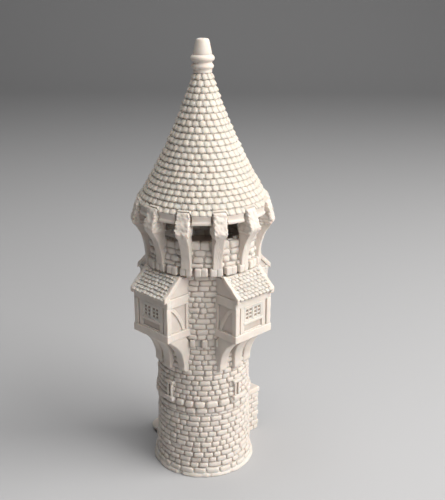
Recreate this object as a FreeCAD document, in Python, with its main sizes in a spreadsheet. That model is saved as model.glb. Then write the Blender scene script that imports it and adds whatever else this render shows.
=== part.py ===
import FreeCAD, Part
import os
import math
import Sketcher
from FreeCAD import Vector, Placement, Rotation

# Miniature round tower: a hollow ground storey, an oriel storey that drops onto it, a gallery that
# drops onto the oriel storey, and a tiled conical roof that lifts off the heads of twelve struts.
# Millimetres, +Z up, origin at the centre of the foot on the table plane.
# South is -Y; "turn" below is the angle of a piece's outward direction, counted from +X.

doc = FreeCAD.newDocument("tower")
sheet = doc.addObject("Spreadsheet::Sheet", "Params")

CELLS = [
    # ---- walls
    ("bore", 13.2, "radius of the round room inside every storey"),
    ("ground_top", 24.5, "joint between ground storey and oriel storey"),
    ("foot_high", 3.0, "height of the spread foot course"),
    ("foot_out", 18.1, "radius of the spread foot course"),
    ("ground_low_rad", 16.5, "wall radius behind the foot, at the joints between stones"),
    ("ground_top_rad", 15.9, "wall radius at the top of the ground storey, at the joints"),
    ("base_thick", 2.0, "floor disc of the ground storey"),
    ("lower_low_rad", 16.05, "wall radius at the bottom of the oriel storey, at the joints"),
    ("taper_low", 30.0, "height where the wall starts to draw in"),
    ("taper_high", 34.5, "height where the wall becomes plumb"),
    ("shaft_rad", 15.75, "plumb wall radius, at the joints"),
    ("upper_rad", 16.45, "wall radius above the dentils, at the joints"),
    ("string_low", 26.9, "underside of the string course"),
    ("string_high", 29.9, "top of the string course"),
    ("string_out", 17.2, "radius of the string course"),
    ("dentil_low", 50.0, "underside of the dentil course"),
    ("dentil_high", 52.7, "top of the dentil course"),
    ("dentil_out", 17.3, "radius of the dentil course"),
    ("dentil_back", 16.0, "radius of the band behind the dentils"),
    ("dentil_gap", 2.6, "gap between two dentils"),
    ("shaft_top", 76.2, "joint between oriel storey and gallery"),
    # ---- registers
    ("fit_gap", 0.25, "radial gap of each register spigot in its bore"),
    ("spigot_deep", 3.0, "length of the register spigots"),
    ("spigot_bore", 10.6, "inner radius of the register spigots"),
    ("floor_thick", 2.0, "floor disc of the oriel storey"),
    ("key_wide", 2.4, "width of the key on each spigot"),
    ("key_gap", 0.3, "gap each side of the key"),
    ("key_out", 14.3, "radius the key reaches to"),
    # ---- arrow slits
    ("slit_half", 1.9, "half width of a slit surround"),
    ("slit_open", 0.45, "half width of the slit"),
    ("slit_face", 17.55, "face of the surround from the axis"),
    ("slit_sill", 1.6, "height of the sill stone"),
    ("slit_tall", 4.7, "height of the slit"),
    ("slit_lintel", 1.1, "height of the lintel stone"),
    # ---- oriels
    ("oriel_sill_low", 54.2, "underside of the sill beam"),
    ("oriel_sill_high", 57.0, "top of the sill beam"),
    ("oriel_sill_out", 24.4, "front of the sill beam"),
    ("oriel_sill_half", 8.7, "half width of the sill beam"),
    ("oriel_core_out", 23.5, "front of the infill wall"),
    ("oriel_core_half", 7.7, "half width of the infill wall"),
    ("oriel_post_out", 24.15, "front of the timbers"),
    ("oriel_post_half", 8.4, "half width over the timbers"),
    ("oriel_post_in", 6.3, "inner edge of a corner post"),
    ("oriel_rail_low", 66.3, "underside of the top rail"),
    ("oriel_rail_high", 69.6, "top of the top rail"),
    ("oriel_gable_half", 8.2, "half width of the gable infill"),
    ("oriel_eave_out", 25.7, "eave tip of the lean-to roof"),
    ("oriel_eave_low", 68.9, "underside of the roof at the eave tip"),
    ("oriel_pitch", 0.93, "rise over run of the lean-to roof"),
    ("oriel_slab", 0.75, "thickness of the roof under the tiles"),
    ("oriel_step", 0.35, "thickness of a tile's lower edge"),
    ("oriel_roof_half", 8.5, "half width of the lean-to roof"),
    ("oriel_roof_top", 76.0, "top of the lean-to roof"),
    ("oriel_roof_in", 18.87, "where the slope meets the level top"),
    ("win_half", 4.5, "half width of the casement"),
    ("win_top", 65.9, "top of the casement"),
    ("win_face", 24.0, "face of the casement"),
    ("pane_low", 61.4, "bottom of the panes"),
    ("pane_high", 65.2, "top of the panes"),
    ("pane_half", 3.4, "half width of the two sashes"),
    ("panel_low", 57.5, "bottom of the panel under the casement"),
    ("panel_high", 59.6, "top of the panel under the casement"),
    ("bracket_half", 8.2, "half width over the three brackets"),
    ("bracket_gap", 0.6, "gap between two brackets"),
    ("bracket_mid", 2.45, "half width of the middle bracket"),
    # ---- gallery
    ("corbel_high", 79.1, "top of the corbel course"),
    ("corbel_out", 19.9, "radius of the corbel course"),
    ("corbel_back", 17.6, "radius of the gallery floor"),
    ("corbel_gap", 1.2, "gap between two corbels"),
    ("parapet_high", 87.8, "top of the parapet"),
    ("parapet_out", 18.4, "outer radius of the parapet"),
    ("parapet_in", 15.8, "inner radius of the parapet"),
    ("plate_low", 94.9, "underside of the wall plate"),
    ("plate_high", 97.0, "top of the wall plate, where the roof sits"),
    ("plate_in", 16.2, "inner radius of the wall plate"),
    ("plate_out", 18.4, "outer radius of the wall plate"),
    ("strut_wide", 3.1, "width of a strut"),
    ("head_wide", 4.1, "width of a strut head"),
    ("strut_in", 18.45, "inner face of a strut on the parapet"),
    ("strut_web", 18.5, "inner face of a strut above the parapet"),
    ("strut_foot", 19.95, "outer face at the foot"),
    ("strut_tip", 24.6, "outermost point of the head"),
    ("strut_tip_high", 92.1, "height of the outermost point"),
    ("strut_high", 98.7, "top of the head"),
    ("strut_top_out", 22.0, "outer edge of the head's top"),
    ("strut_first", 15.0, "turn of the first strut from south"),
    ("strut_turn", 30.0, "turn between two struts"),
    # ---- roof
    ("eaves_bead_low", 94.6, "underside of the eaves bead"),
    ("eaves_bead_high", 95.7, "top of the eaves bead"),
    ("eaves_bead_out", 22.3, "radius of the eaves bead"),
    ("eaves_out", 21.95, "radius of the fascia"),
    ("eaves_in", 20.1, "inner radius of the eaves ring"),
    ("eaves_high", 97.3, "top of the fascia"),
    ("roof_low", 97.5, "bottom of the tiles"),
    ("roof_high", 138.5, "top of the tiles"),
    ("roof_rad_low", 22.25, "radius of the roof at the bottom row, between tile edges"),
    ("roof_rad_high", 3.3, "radius of the roof at the top row"),
    ("roof_sag", 1.5, "how far the bell curve falls inside a straight cone"),
    ("tile_thick", 0.6, "tile skin on the shell"),
    ("tile_edge", 0.35, "how far a tile's lower edge stands out"),
    ("roof_wall", 2.2, "shell thickness across the radius"),
    ("roof_seat_in", 15.0, "inner radius of the seat ring"),
    ("roof_seat_high", 99.9, "top of the seat ring"),
    ("slot_wide", 5.0, "width of the notches over the strut heads"),
    ("slot_high", 99.1, "top of the notches"),
    # ---- finial
    ("finial_low", 138.5, "bottom of the finial"),
    ("finial_split", 145.0, "joint between collars and plug"),
    ("finial_top", 150.0, "top of the tower"),
    # ---- porch and postern
    ("porch_out", 25.9, "front of the porch"),
    ("porch_half", 3.6, "half width of the porch"),
    ("porch_high", 16.0, "height of the porch walls"),
    ("cap_out", 26.3, "front of the cap slab"),
    ("cap_half", 3.9, "half width of the cap slab"),
    ("cap_thick", 2.2, "thickness of the cap slab"),
    ("door_half", 2.1, "half width of a doorway"),
    ("door_high", 10.5, "height of the porch doorway"),
    ("door_deep", 1.4, "depth of the porch doorway"),
    ("door_thick", 0.8, "thickness of a plank door"),
    ("postern_face", 18.3, "face of the postern surround"),
    ("postern_half", 4.0, "half width of the postern surround"),
    ("postern_high", 14.6, "height of the postern surround"),
    ("postern_open_high", 12.2, "height of the postern doorway"),
    ("step_out", 26.2, "front of the doorstep"),
    ("step_half", 5.0, "half width of the doorstep"),
    ("step_high", 2.2, "height of the doorstep"),
]
for row, (alias, number, note) in enumerate(CELLS, start=1):
    sheet.set("A%d" % row, alias)
    sheet.set("B%d" % row, str(number))
    sheet.set("C%d" % row, note)
    sheet.setAlias("B%d" % row, alias)
doc.recompute()


class Q:
    """A size that carries both its value and the spreadsheet expression it comes from."""

    def __init__(self, value, text):
        self.value, self.text = value, text

    @staticmethod
    def of(other):
        return other if isinstance(other, Q) else Q(float(other), repr(float(other)))

    def __add__(self, o):
        o = Q.of(o)
        return Q(self.value + o.value, "(%s + %s)" % (self.text, o.text))

    def __radd__(self, o):
        return Q.of(o) + self

    def __sub__(self, o):
        o = Q.of(o)
        return Q(self.value - o.value, "(%s - %s)" % (self.text, o.text))

    def __rsub__(self, o):
        return Q.of(o) - self

    def __mul__(self, o):
        o = Q.of(o)
        return Q(self.value * o.value, "(%s * %s)" % (self.text, o.text))

    def __rmul__(self, o):
        return Q.of(o) * self

    def __neg__(self):
        return Q(-self.value, "(0 - %s)" % self.text)


C = {alias: Q(number, "Params.%s" % alias) for alias, number, note in CELLS}
NODES = []


def new_body(label):
    body = doc.addObject("PartDesign::Body", label)
    body.Label = label
    NODES.append(body)
    return body


def origin_feature(body, role):
    for feature in body.Origin.OriginFeatures:
        if feature.Role == role:
            return feature


def sketch(body, name, plane, loops, lift=None, turn=0.0):
    """Closed polygons whose every corner is dimensioned from the origin by a cell expression."""
    sk = body.newObject("Sketcher::SketchObject", name)
    sk.AttachmentSupport = [(origin_feature(body, plane), "")]
    sk.MapMode = "FlatFace"
    sk.AttachmentOffset = Placement(Vector(0, 0, Q.of(lift).value if lift is not None else 0),
                                    Rotation(Vector(0, 0, 1), turn))
    if lift is not None:
        sk.setExpression("AttachmentOffset.Base.z", Q.of(lift).text)
    for loop in loops:
        pts = [(Q.of(a), Q.of(b)) for a, b in loop]
        first = sk.GeometryCount
        count = len(pts)
        for i in range(count):
            p, q = pts[i], pts[(i + 1) % count]
            sk.addGeometry(Part.LineSegment(Vector(p[0].value, p[1].value, 0),
                                            Vector(q[0].value, q[1].value, 0)), False)
        for i in range(count):
            sk.addConstraint(Sketcher.Constraint("Coincident", first + i, 2, first + (i + 1) % count, 1))
        for i, (a, b) in enumerate(pts):
            for kind, size, axis in (("DistanceX", a, -2), ("DistanceY", b, -1)):
                if abs(size.value) < 1e-9:
                    sk.addConstraint(Sketcher.Constraint("PointOnObject", first + i, 1, axis))
                else:
                    index = sk.addConstraint(Sketcher.Constraint(kind, -1, 1, first + i, 1, size.value))
                    if size.text.find("Params") >= 0:
                        sk.setExpression("Constraints[%d]" % index, size.text)
    return sk


def circle_sketch(body, name, radius, lift):
    sk = body.newObject("Sketcher::SketchObject", name)
    sk.AttachmentSupport = [(origin_feature(body, "XY_Plane"), "")]
    sk.MapMode = "FlatFace"
    sk.AttachmentOffset = Placement(Vector(0, 0, Q.of(lift).value), Rotation())
    sk.setExpression("AttachmentOffset.Base.z", Q.of(lift).text)
    sk.addGeometry(Part.Circle(Vector(0, 0, 0), Vector(0, 0, 1), radius.value), False)
    sk.addConstraint(Sketcher.Constraint("Coincident", 0, 3, -1, 1))
    index = sk.addConstraint(Sketcher.Constraint("Radius", 0, radius.value))
    sk.setExpression("Constraints[%d]" % index, radius.text)
    return sk


def revolve(body, name, loop):
    sk = sketch(body, name + "_profile", "XZ_Plane", [loop])
    rev = body.newObject("PartDesign::Revolution", name)
    rev.Profile = sk
    rev.ReferenceAxis = (sk, ["V_Axis"])
    rev.Angle = 360
    return rev


def groove(body, name, loop):
    sk = sketch(body, name + "_profile", "XZ_Plane", [loop])
    cut = body.newObject("PartDesign::Groove", name)
    cut.Profile = sk
    cut.ReferenceAxis = (sk, ["V_Axis"])
    cut.Angle = 360
    return cut


def pad(body, name, sk, length, both=False, back=False):
    p = body.newObject("PartDesign::Pad", name)
    p.Profile = sk
    length = Q.of(length)
    p.Length = length.value
    p.setExpression("Length", length.text)
    p.Midplane = both
    p.Reversed = back
    return p


def pocket(body, name, sk, length, back=False, both=False):
    p = body.newObject("PartDesign::Pocket", name)
    p.Profile = sk
    length = Q.of(length)
    p.Length = length.value
    p.setExpression("Length", length.text)
    p.Midplane = both
    p.Reversed = back
    return p


def around(body, name, feature, count):
    pattern = body.newObject("PartDesign::PolarPattern", name)
    pattern.Originals = [feature]
    pattern.Axis = (origin_feature(body, "Z_Axis"), [""])
    pattern.Angle = 360
    pattern.Occurrences = count
    body.Tip = pattern
    return pattern


def turned(body, angle):
    """Turn a finished body about the tower's axis."""
    body.Placement = Placement(Vector(0, 0, 0), Rotation(Vector(0, 0, 1), Q.of(angle).value))
    if Q.of(angle).text.find("Params") >= 0:
        body.setExpression("Placement.Rotation.Angle", Q.of(angle).text)


def rect(a0, b0, a1, b1):
    return [(a0, b0), (a1, b0), (a1, b1), (a0, b1)]


# ------------------------------------------------------------------ ground storey
half_key = C["key_wide"] * 0.5
slot_key = half_key + C["key_gap"]

b = new_body("ground_wall")
revolve(b, "ground_wall_ring", [(C["bore"], 0), (C["ground_low_rad"], 0), (C["ground_low_rad"], C["foot_high"]),
                                (C["ground_top_rad"], C["ground_top"]), (C["bore"], C["ground_top"])])
sk = sketch(b, "ground_key_seat", "XY_Plane",
            [rect(C["bore"] - 1.0, -slot_key, C["key_out"] + 0.3, slot_key)], lift=C["ground_top"])
pocket(b, "ground_key_slot", sk, C["spigot_deep"] + 0.4)

b = new_body("foot_course")
revolve(b, "foot_ring", [(C["ground_low_rad"], 0), (C["foot_out"], 0), (C["foot_out"] - 0.1, C["foot_high"] - 0.9),
                         (C["foot_out"] - 0.6, C["foot_high"]), (C["ground_low_rad"], C["foot_high"])])

b = new_body("ground_floor")
revolve(b, "ground_disc", [(0, 0), (C["bore"], 0), (C["bore"], C["base_thick"]), (0, C["base_thick"])])

# the outside of the ground storey, as the shape that everything built against it is cut back to
GROUND_OUTSIDE = [(0, -1), (C["foot_out"], -1), (C["foot_out"], 0), (C["foot_out"] - 0.1, C["foot_high"] - 0.9),
                  (C["foot_out"] - 0.6, C["foot_high"]), (C["ground_low_rad"], C["foot_high"]),
                  (C["ground_top_rad"], C["ground_top"]), (0, C["ground_top"])]

porch_turn = 45.0
b = new_body("porch_walls")
sk = sketch(b, "porch_side", "XZ_Plane",
            [[(13, 0), (C["porch_out"], 0), (C["porch_out"], C["porch_high"]), (13, C["porch_high"])]])
pad(b, "porch_block", sk, C["porch_half"] * 2.0, both=True)
sk = sketch(b, "porch_doorway", "YZ_Plane",
            [[(-C["door_half"], -1), (C["door_half"], -1), (C["door_half"], C["door_high"] - 2.0),
              (C["door_half"] * 0.7, C["door_high"] - 0.7), (0, C["door_high"]),
              (-C["door_half"] * 0.7, C["door_high"] - 0.7), (-C["door_half"], C["door_high"] - 2.0)]],
            lift=C["porch_out"])
pocket(b, "porch_door_recess", sk, C["door_deep"])
groove(b, "porch_seat", GROUND_OUTSIDE)
turned(b, porch_turn)

b = new_body("porch_door")
sk = sketch(b, "porch_door_outline", "YZ_Plane",
            [[(-C["door_half"], 0), (C["door_half"], 0), (C["door_half"], C["door_high"] - 2.0),
              (C["door_half"] * 0.7, C["door_high"] - 0.7), (0, C["door_high"]),
              (-C["door_half"] * 0.7, C["door_high"] - 0.7), (-C["door_half"], C["door_high"] - 2.0)]],
            lift=C["porch_out"] - C["door_deep"])
pad(b, "porch_door_planks", sk, C["door_thick"])
turned(b, porch_turn)

b = new_body("porch_cap")
sk = sketch(b, "porch_cap_side", "XZ_Plane",
            [[(13, C["porch_high"]), (C["cap_out"], C["porch_high"]), (C["cap_out"], C["porch_high"] + C["cap_thick"] - 0.5),
              (C["cap_out"] - 0.5, C["porch_high"] + C["cap_thick"]), (13, C["porch_high"] + C["cap_thick"])]])
pad(b, "porch_cap_slab", sk, C["cap_half"] * 2.0, both=True)
groove(b, "porch_cap_seat", GROUND_OUTSIDE)
turned(b, porch_turn)

postern_turn = -225.0
b = new_body("postern_surround")
sk = sketch(b, "postern_outline", "YZ_Plane",
            [[(-C["postern_half"], 0), (-C["door_half"], 0), (-C["door_half"], C["postern_open_high"] - 2.2),
              (-C["door_half"] * 0.7, C["postern_open_high"] - 0.8), (0, C["postern_open_high"]),
              (C["door_half"] * 0.7, C["postern_open_high"] - 0.8), (C["door_half"], C["postern_open_high"] - 2.2),
              (C["door_half"], 0), (C["postern_half"], 0), (C["postern_half"], C["postern_high"] - 2.4),
              (C["postern_half"] * 0.6, C["postern_high"] - 0.8), (0, C["postern_high"]),
              (-C["postern_half"] * 0.6, C["postern_high"] - 0.8), (-C["postern_half"], C["postern_high"] - 2.4)]],
            lift=14.0)
pad(b, "postern_stones", sk, C["postern_face"] + 0.6 - 14.0)
groove(b, "postern_seat", GROUND_OUTSIDE)
turned(b, postern_turn)

b = new_body("postern_door")
sk = sketch(b, "postern_door_outline", "YZ_Plane",
            [[(-C["door_half"], 0), (C["door_half"], 0), (C["door_half"], C["postern_open_high"] - 2.2),
              (C["door_half"] * 0.7, C["postern_open_high"] - 0.8), (0, C["postern_open_high"]),
              (-C["door_half"] * 0.7, C["postern_open_high"] - 0.8), (-C["door_half"], C["postern_open_high"] - 2.2)]],
            lift=14.0)
pad(b, "postern_planks", sk, C["postern_face"] + 0.1 - 14.0)
groove(b, "postern_door_seat", GROUND_OUTSIDE)
turned(b, postern_turn)

b = new_body("postern_step")
sk = sketch(b, "step_outline", "XY_Plane",
            [[(C["postern_face"] + 0.6, -C["step_half"]), (C["step_out"] - 2.8, -C["step_half"]),
              (C["step_out"], -C["step_half"] + 2.6), (C["step_out"], C["step_half"] - 2.6),
              (C["step_out"] - 2.8, C["step_half"]), (C["postern_face"] + 0.6, C["step_half"])]])
pad(b, "step_slab", sk, C["step_high"])
turned(b, postern_turn)

# ------------------------------------------------------------------ oriel storey
b = new_body("lower_wall")
revolve(b, "lower_wall_ring", [(C["bore"], C["ground_top"]), (C["lower_low_rad"], C["ground_top"]),
                               (C["lower_low_rad"], C["taper_low"]), (C["shaft_rad"], C["taper_high"]),
                               (C["shaft_rad"], C["dentil_low"]), (C["bore"], C["dentil_low"])])

b = new_body("string_course")
revolve(b, "string_ring", [(C["lower_low_rad"], C["string_low"]), (C["string_out"] - 0.1, C["string_low"]),
                           (C["string_out"], C["string_low"] + 0.8), (C["string_out"], C["string_high"] - 0.6),
                           (C["string_out"] - 0.3, C["string_high"]), (C["lower_low_rad"], C["string_high"])])


def keyed_floor(label, level, disc_rad, thick):
    """A floor disc with a ring spigot below it and one square key on the spigot, facing south."""
    body = new_body(label)
    spigot = C["bore"] - C["fit_gap"]
    revolve(body, label + "_disc",
            [(0, level), (C["spigot_bore"], level), (C["spigot_bore"], level - C["spigot_deep"]),
             (spigot - 0.4, level - C["spigot_deep"]), (spigot, level - C["spigot_deep"] + 0.6),
             (spigot, level), (disc_rad, level), (disc_rad, level + thick), (0, level + thick)])
    key = sketch(body, label + "_key_outline", "XY_Plane",
                 [rect(C["bore"] - 0.8, -half_key, C["key_out"], half_key)],
                 lift=level - C["spigot_deep"] + 0.4)
    pad(body, label + "_key", key, C["spigot_deep"] - 0.4)
    return body


keyed_floor("oriel_floor", C["ground_top"], C["bore"], C["floor_thick"])

SHAFT_OUTSIDE = [(0, C["ground_top"] - 1.0), (C["lower_low_rad"], C["ground_top"] - 1.0), (C["lower_low_rad"], C["string_low"]),
                 (C["string_out"] - 0.1, C["string_low"]), (C["string_out"], C["string_low"] + 0.8),
                 (C["string_out"], C["string_high"] - 0.6), (C["string_out"] - 0.3, C["string_high"]),
                 (C["lower_low_rad"], C["string_high"]), (C["lower_low_rad"], C["taper_low"]),
                 (C["shaft_rad"], C["taper_high"]),
                 (C["shaft_rad"], C["dentil_low"]), (C["dentil_out"], C["dentil_low"]), (C["dentil_out"], C["dentil_high"]),
                 (C["upper_rad"], C["dentil_high"]), (C["upper_rad"], C["shaft_top"] + 2.0), (0, C["shaft_top"] + 2.0)]

SLITS = [(1, -90.0 - 43.0, 28.0), (2, -90.0 + 45.0, 28.3), (3, 90.0 - 43.0, 28.3), (4, 90.0 + 45.0, 28.0)]
for number, turn, sill_low in SLITS:
    b = new_body("slit_surround_%d" % number)
    top = C["slit_sill"] + C["slit_tall"] + C["slit_lintel"] + sill_low
    sk = sketch(b, "slit_%d_outline" % number, "YZ_Plane",
                [rect(-C["slit_half"], Q.of(sill_low), C["slit_half"], top),
                 rect(-C["slit_open"], C["slit_sill"] + sill_low, C["slit_open"], top - C["slit_lintel"])],
                lift=14.0)
    pad(b, "slit_%d_stones" % number, sk, C["slit_face"] - 14.0)
    groove(b, "slit_%d_seat" % number, SHAFT_OUTSIDE)
    turned(b, turn)

b = new_body("upper_wall")
revolve(b, "upper_wall_ring", [(C["bore"], C["dentil_low"]), (C["shaft_rad"], C["dentil_low"]),
                               (C["shaft_rad"], C["dentil_high"]), (C["upper_rad"], C["dentil_high"]),
                               (C["upper_rad"], C["shaft_top"]), (C["bore"], C["shaft_top"])])
sk = sketch(b, "upper_key_seat", "XY_Plane",
            [rect(C["bore"] - 1.0, -slot_key, C["key_out"] + 0.3, slot_key)], lift=C["shaft_top"])
pocket(b, "upper_key_slot", sk, C["spigot_deep"] + 0.4)

b = new_body("dentil_course")
revolve(b, "dentil_ring", [(C["shaft_rad"], C["dentil_low"]), (C["dentil_out"], C["dentil_low"]),
                           (C["dentil_out"], C["dentil_high"]), (C["shaft_rad"], C["dentil_high"])])
sk = sketch(b, "dentil_gap_outline", "XY_Plane",
            [rect(C["dentil_back"], -C["dentil_gap"] * 0.5, C["dentil_out"] + 1.0, C["dentil_gap"] * 0.5)],
            lift=C["dentil_high"], turn=10.5)
gap = pocket(b, "dentil_gap", sk, C["dentil_high"] - C["dentil_low"])
around(b, "dentil_gaps", gap, 24)

slope_at = lambda x: C["oriel_eave_low"] + (C["oriel_eave_out"] - x) * C["oriel_pitch"]
CORE_TOP = slope_at(C["oriel_roof_in"])

ORIELS = [("south_west", -135.0), ("south_east", -45.0), ("north_east", 45.0), ("north_west", 135.0)]
for side, turn in ORIELS:
    # infill walls: one core up to the top rail and the gable infill under the lean-to roof
    b = new_body("oriel_%s_walls" % side)
    sk = sketch(b, "core_%s" % side, "XZ_Plane", [rect(12, C["oriel_sill_high"], C["oriel_core_out"], C["oriel_rail_high"])])
    pad(b, "core_block_%s" % side, sk, C["oriel_core_half"] * 2.0, both=True)
    sk = sketch(b, "gable_%s" % side, "XZ_Plane",
                [[(12, C["oriel_rail_high"]), (C["oriel_core_out"], C["oriel_rail_high"]),
                  (C["oriel_core_out"], slope_at(C["oriel_core_out"])), (C["oriel_roof_in"], CORE_TOP), (12, CORE_TOP)]])
    pad(b, "gable_block_%s" % side, sk, C["oriel_gable_half"] * 2.0, both=True)
    groove(b, "walls_seat_%s" % side, SHAFT_OUTSIDE)
    turned(b, turn)

    # timber frame: sill beam as a slab, then posts, rails and one curved brace on each side
    b = new_body("oriel_%s_frame" % side)
    sk = sketch(b, "sill_%s" % side, "XY_Plane",
                [rect(12, -C["oriel_sill_half"], C["oriel_sill_out"], C["oriel_sill_half"])], lift=C["oriel_sill_low"])
    pad(b, "sill_beam_%s" % side, sk, C["oriel_sill_high"] - C["oriel_sill_low"])
    back = 15.9
    sk = sketch(b, "side_frame_%s" % side, "XZ_Plane",
                [rect(12, C["oriel_sill_high"], C["oriel_post_out"], C["oriel_rail_high"]),
                 [(back + 1.4, C["oriel_sill_high"] + 0.3), (22.2, C["oriel_sill_high"] + 0.3), (22.2, C["oriel_rail_low"] - 3.0),
                  (20.3, C["oriel_rail_low"] - 4.2), (18.6, C["oriel_rail_low"] - 6.2)],
                 [(back, C["oriel_sill_high"] + 2.2), (17.6, C["oriel_rail_low"] - 5.2), (19.6, C["oriel_rail_low"] - 3.0),
                  (22.2, C["oriel_rail_low"] - 1.6), (22.2, C["oriel_rail_low"]), (back, C["oriel_rail_low"])]])
    pad(b, "side_timbers_%s" % side, sk, C["oriel_post_half"] * 2.0, both=True)
    sk = sketch(b, "core_room_%s" % side, "XY_Plane",
                [rect(10, -C["oriel_core_half"], C["oriel_core_out"], C["oriel_core_half"])], lift=C["oriel_rail_high"])
    pocket(b, "core_cut_%s" % side, sk, C["oriel_rail_high"] - C["oriel_sill_high"])
    sk = sketch(b, "front_room_%s" % side, "YZ_Plane",
                [rect(-C["oriel_post_in"], C["oriel_sill_high"], C["oriel_post_in"], C["oriel_rail_low"])], lift=26.0)
    pocket(b, "front_cut_%s" % side, sk, 26.0 - C["oriel_core_out"] + 0.2)
    groove(b, "frame_seat_%s" % side, SHAFT_OUTSIDE)
    turned(b, turn)

    # casement of two sashes with a panel below it
    b = new_body("oriel_%s_window" % side)
    sk = sketch(b, "window_%s" % side, "YZ_Plane",
                [rect(-C["win_half"], C["oriel_sill_high"], C["win_half"], C["win_top"]),
                 rect(-C["pane_half"], C["pane_low"], -0.3, C["pane_high"]),
                 rect(Q.of(0.3), C["pane_low"], C["pane_half"], C["pane_high"]),
                 rect(-C["pane_half"] - 0.3, C["panel_low"], C["pane_half"] + 0.3, C["panel_high"])],
                lift=C["oriel_core_out"])
    pad(b, "casement_%s" % side, sk, C["win_face"] - C["oriel_core_out"])
    turned(b, turn)

    # lean-to roof with seven courses of tiles
    b = new_body("oriel_%s_roof" % side)
    rows = 7
    run = (C["oriel_eave_out"] - C["oriel_roof_in"]) * (1.0 / rows)
    loop = [(C["oriel_eave_out"], C["oriel_eave_low"])]
    for row in range(rows):
        x0 = C["oriel_eave_out"] - run * float(row)
        x1 = C["oriel_eave_out"] - run * float(row + 1)
        loop.append((x0 + (0.0 if row == 0 else 0.12), slope_at(x0) + C["oriel_slab"] + C["oriel_step"]))
        if row < rows - 1:
            loop.append((x1, slope_at(x1) + C["oriel_slab"]))
    loop += [(C["oriel_roof_in"], C["oriel_roof_top"]), (12, C["oriel_roof_top"]), (12, CORE_TOP),
             (C["oriel_roof_in"], CORE_TOP)]
    sk = sketch(b, "roof_side_%s" % side, "XZ_Plane", [loop])
    pad(b, "roof_tiles_%s" % side, sk, C["oriel_roof_half"] * 2.0, both=True)
    groove(b, "roof_seat_%s" % side, SHAFT_OUTSIDE)
    turned(b, turn)

    # three coved brackets, one block with two grooves
    b = new_body("oriel_%s_brackets" % side)
    sk = sketch(b, "cove_%s" % side, "XZ_Plane",
                [[(11.5, 39.0), (13.9, 39.4), (15.1, 42.0), (16.3, 45.2), (17.6, 48.0), (19.2, 50.2), (21.3, 52.2),
                  (23.3, 53.3), (23.6, C["oriel_sill_low"]), (11.5, C["oriel_sill_low"])]])
    pad(b, "cove_block_%s" % side, sk, C["bracket_half"] * 2.0, both=True)
    sk = sketch(b, "cove_gaps_%s" % side, "XY_Plane",
                [rect(C["dentil_out"] + 0.6, C["bracket_mid"], 26, C["bracket_mid"] + C["bracket_gap"]),
                 rect(C["dentil_out"] + 0.6, -C["bracket_mid"] - C["bracket_gap"], 26, -C["bracket_mid"])],
                lift=C["oriel_sill_low"])
    pocket(b, "cove_grooves_%s" % side, sk, 20.0)
    groove(b, "cove_seat_%s" % side, SHAFT_OUTSIDE)
    turned(b, turn)

# ------------------------------------------------------------------ gallery
keyed_floor("gallery_floor", C["shaft_top"], C["corbel_back"], C["corbel_high"] - C["shaft_top"])

b = new_body("gallery_corbels")
revolve(b, "corbel_ring", [(C["corbel_back"], C["shaft_top"]), (C["corbel_out"] - 0.4, C["shaft_top"]),
                           (C["corbel_out"], C["shaft_top"] + 0.6), (C["corbel_out"], C["corbel_high"]),
                           (C["corbel_back"], C["corbel_high"])])
sk = sketch(b, "corbel_gap_outline", "XY_Plane",
            [rect(C["corbel_back"] + 0.3, -C["corbel_gap"] * 0.5, C["corbel_out"] + 1.0, C["corbel_gap"] * 0.5)],
            lift=C["corbel_high"], turn=7.5)
gap = pocket(b, "corbel_gap_cut", sk, C["corbel_high"] - C["shaft_top"])
around(b, "corbel_gap_cuts", gap, 24)

b = new_body("gallery_wall")
revolve(b, "parapet_ring", [(C["parapet_in"], C["corbel_high"]), (C["parapet_out"], C["corbel_high"]),
                            (C["parapet_out"], C["parapet_high"]), (C["parapet_in"], C["parapet_high"])])

b = new_body("wall_plate")
revolve(b, "wall_plate_ring", [(C["plate_in"], C["plate_low"]), (C["plate_out"], C["plate_low"]),
                               (C["plate_out"], C["plate_high"]), (C["plate_in"], C["plate_high"])])

for number in range(12):
    b = new_body("strut_%02d" % (number + 1))
    sk = sketch(b, "strut_side_%02d" % (number + 1), "XZ_Plane",
                [[(C["strut_in"], C["corbel_high"]), (C["strut_foot"], C["corbel_high"]), (20.2, 82.3), (20.95, 85.2),
                  (22.2, 88.1), (24.0, 91.0), (C["strut_tip"], C["strut_tip_high"]), (24.0, 93.8), (23.1, 96.6),
                  (C["strut_top_out"], C["strut_high"]), (C["strut_web"], C["strut_high"]),
                  (C["strut_web"], C["parapet_high"] + 0.1), (C["strut_in"], C["parapet_high"])]])
    pad(b, "strut_arm_%02d" % (number + 1), sk, C["strut_wide"], both=True)
    sk = sketch(b, "strut_head_side_%02d" % (number + 1), "XZ_Plane",
                [[(21.4, 90.6), (23.8, 91.0), (C["strut_tip"], C["strut_tip_high"]), (24.0, 93.8), (23.1, 96.6),
                  (C["strut_top_out"], C["strut_high"]), (19.6, C["strut_high"]), (19.6, 93.0)]])
    pad(b, "strut_head_%02d" % (number + 1), sk, C["head_wide"], both=True)
    turned(b, C["strut_first"] + C["strut_turn"] * float(number) - 90.0)

# ------------------------------------------------------------------ roof
ROWS = 22


def roof_radius(level):
    """Bell curve of the roof: a straight taper minus a parabola that is nought at both ends."""
    t = (level.value - C["roof_low"].value) / (C["roof_high"].value - C["roof_low"].value)
    return (C["roof_rad_low"] * (1.0 - t) + C["roof_rad_high"] * t - C["roof_sag"] * (4.0 * t * (1.0 - t)))


def roof_level(t):
    return C["roof_low"] * (1.0 - t) + C["roof_high"] * t


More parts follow.
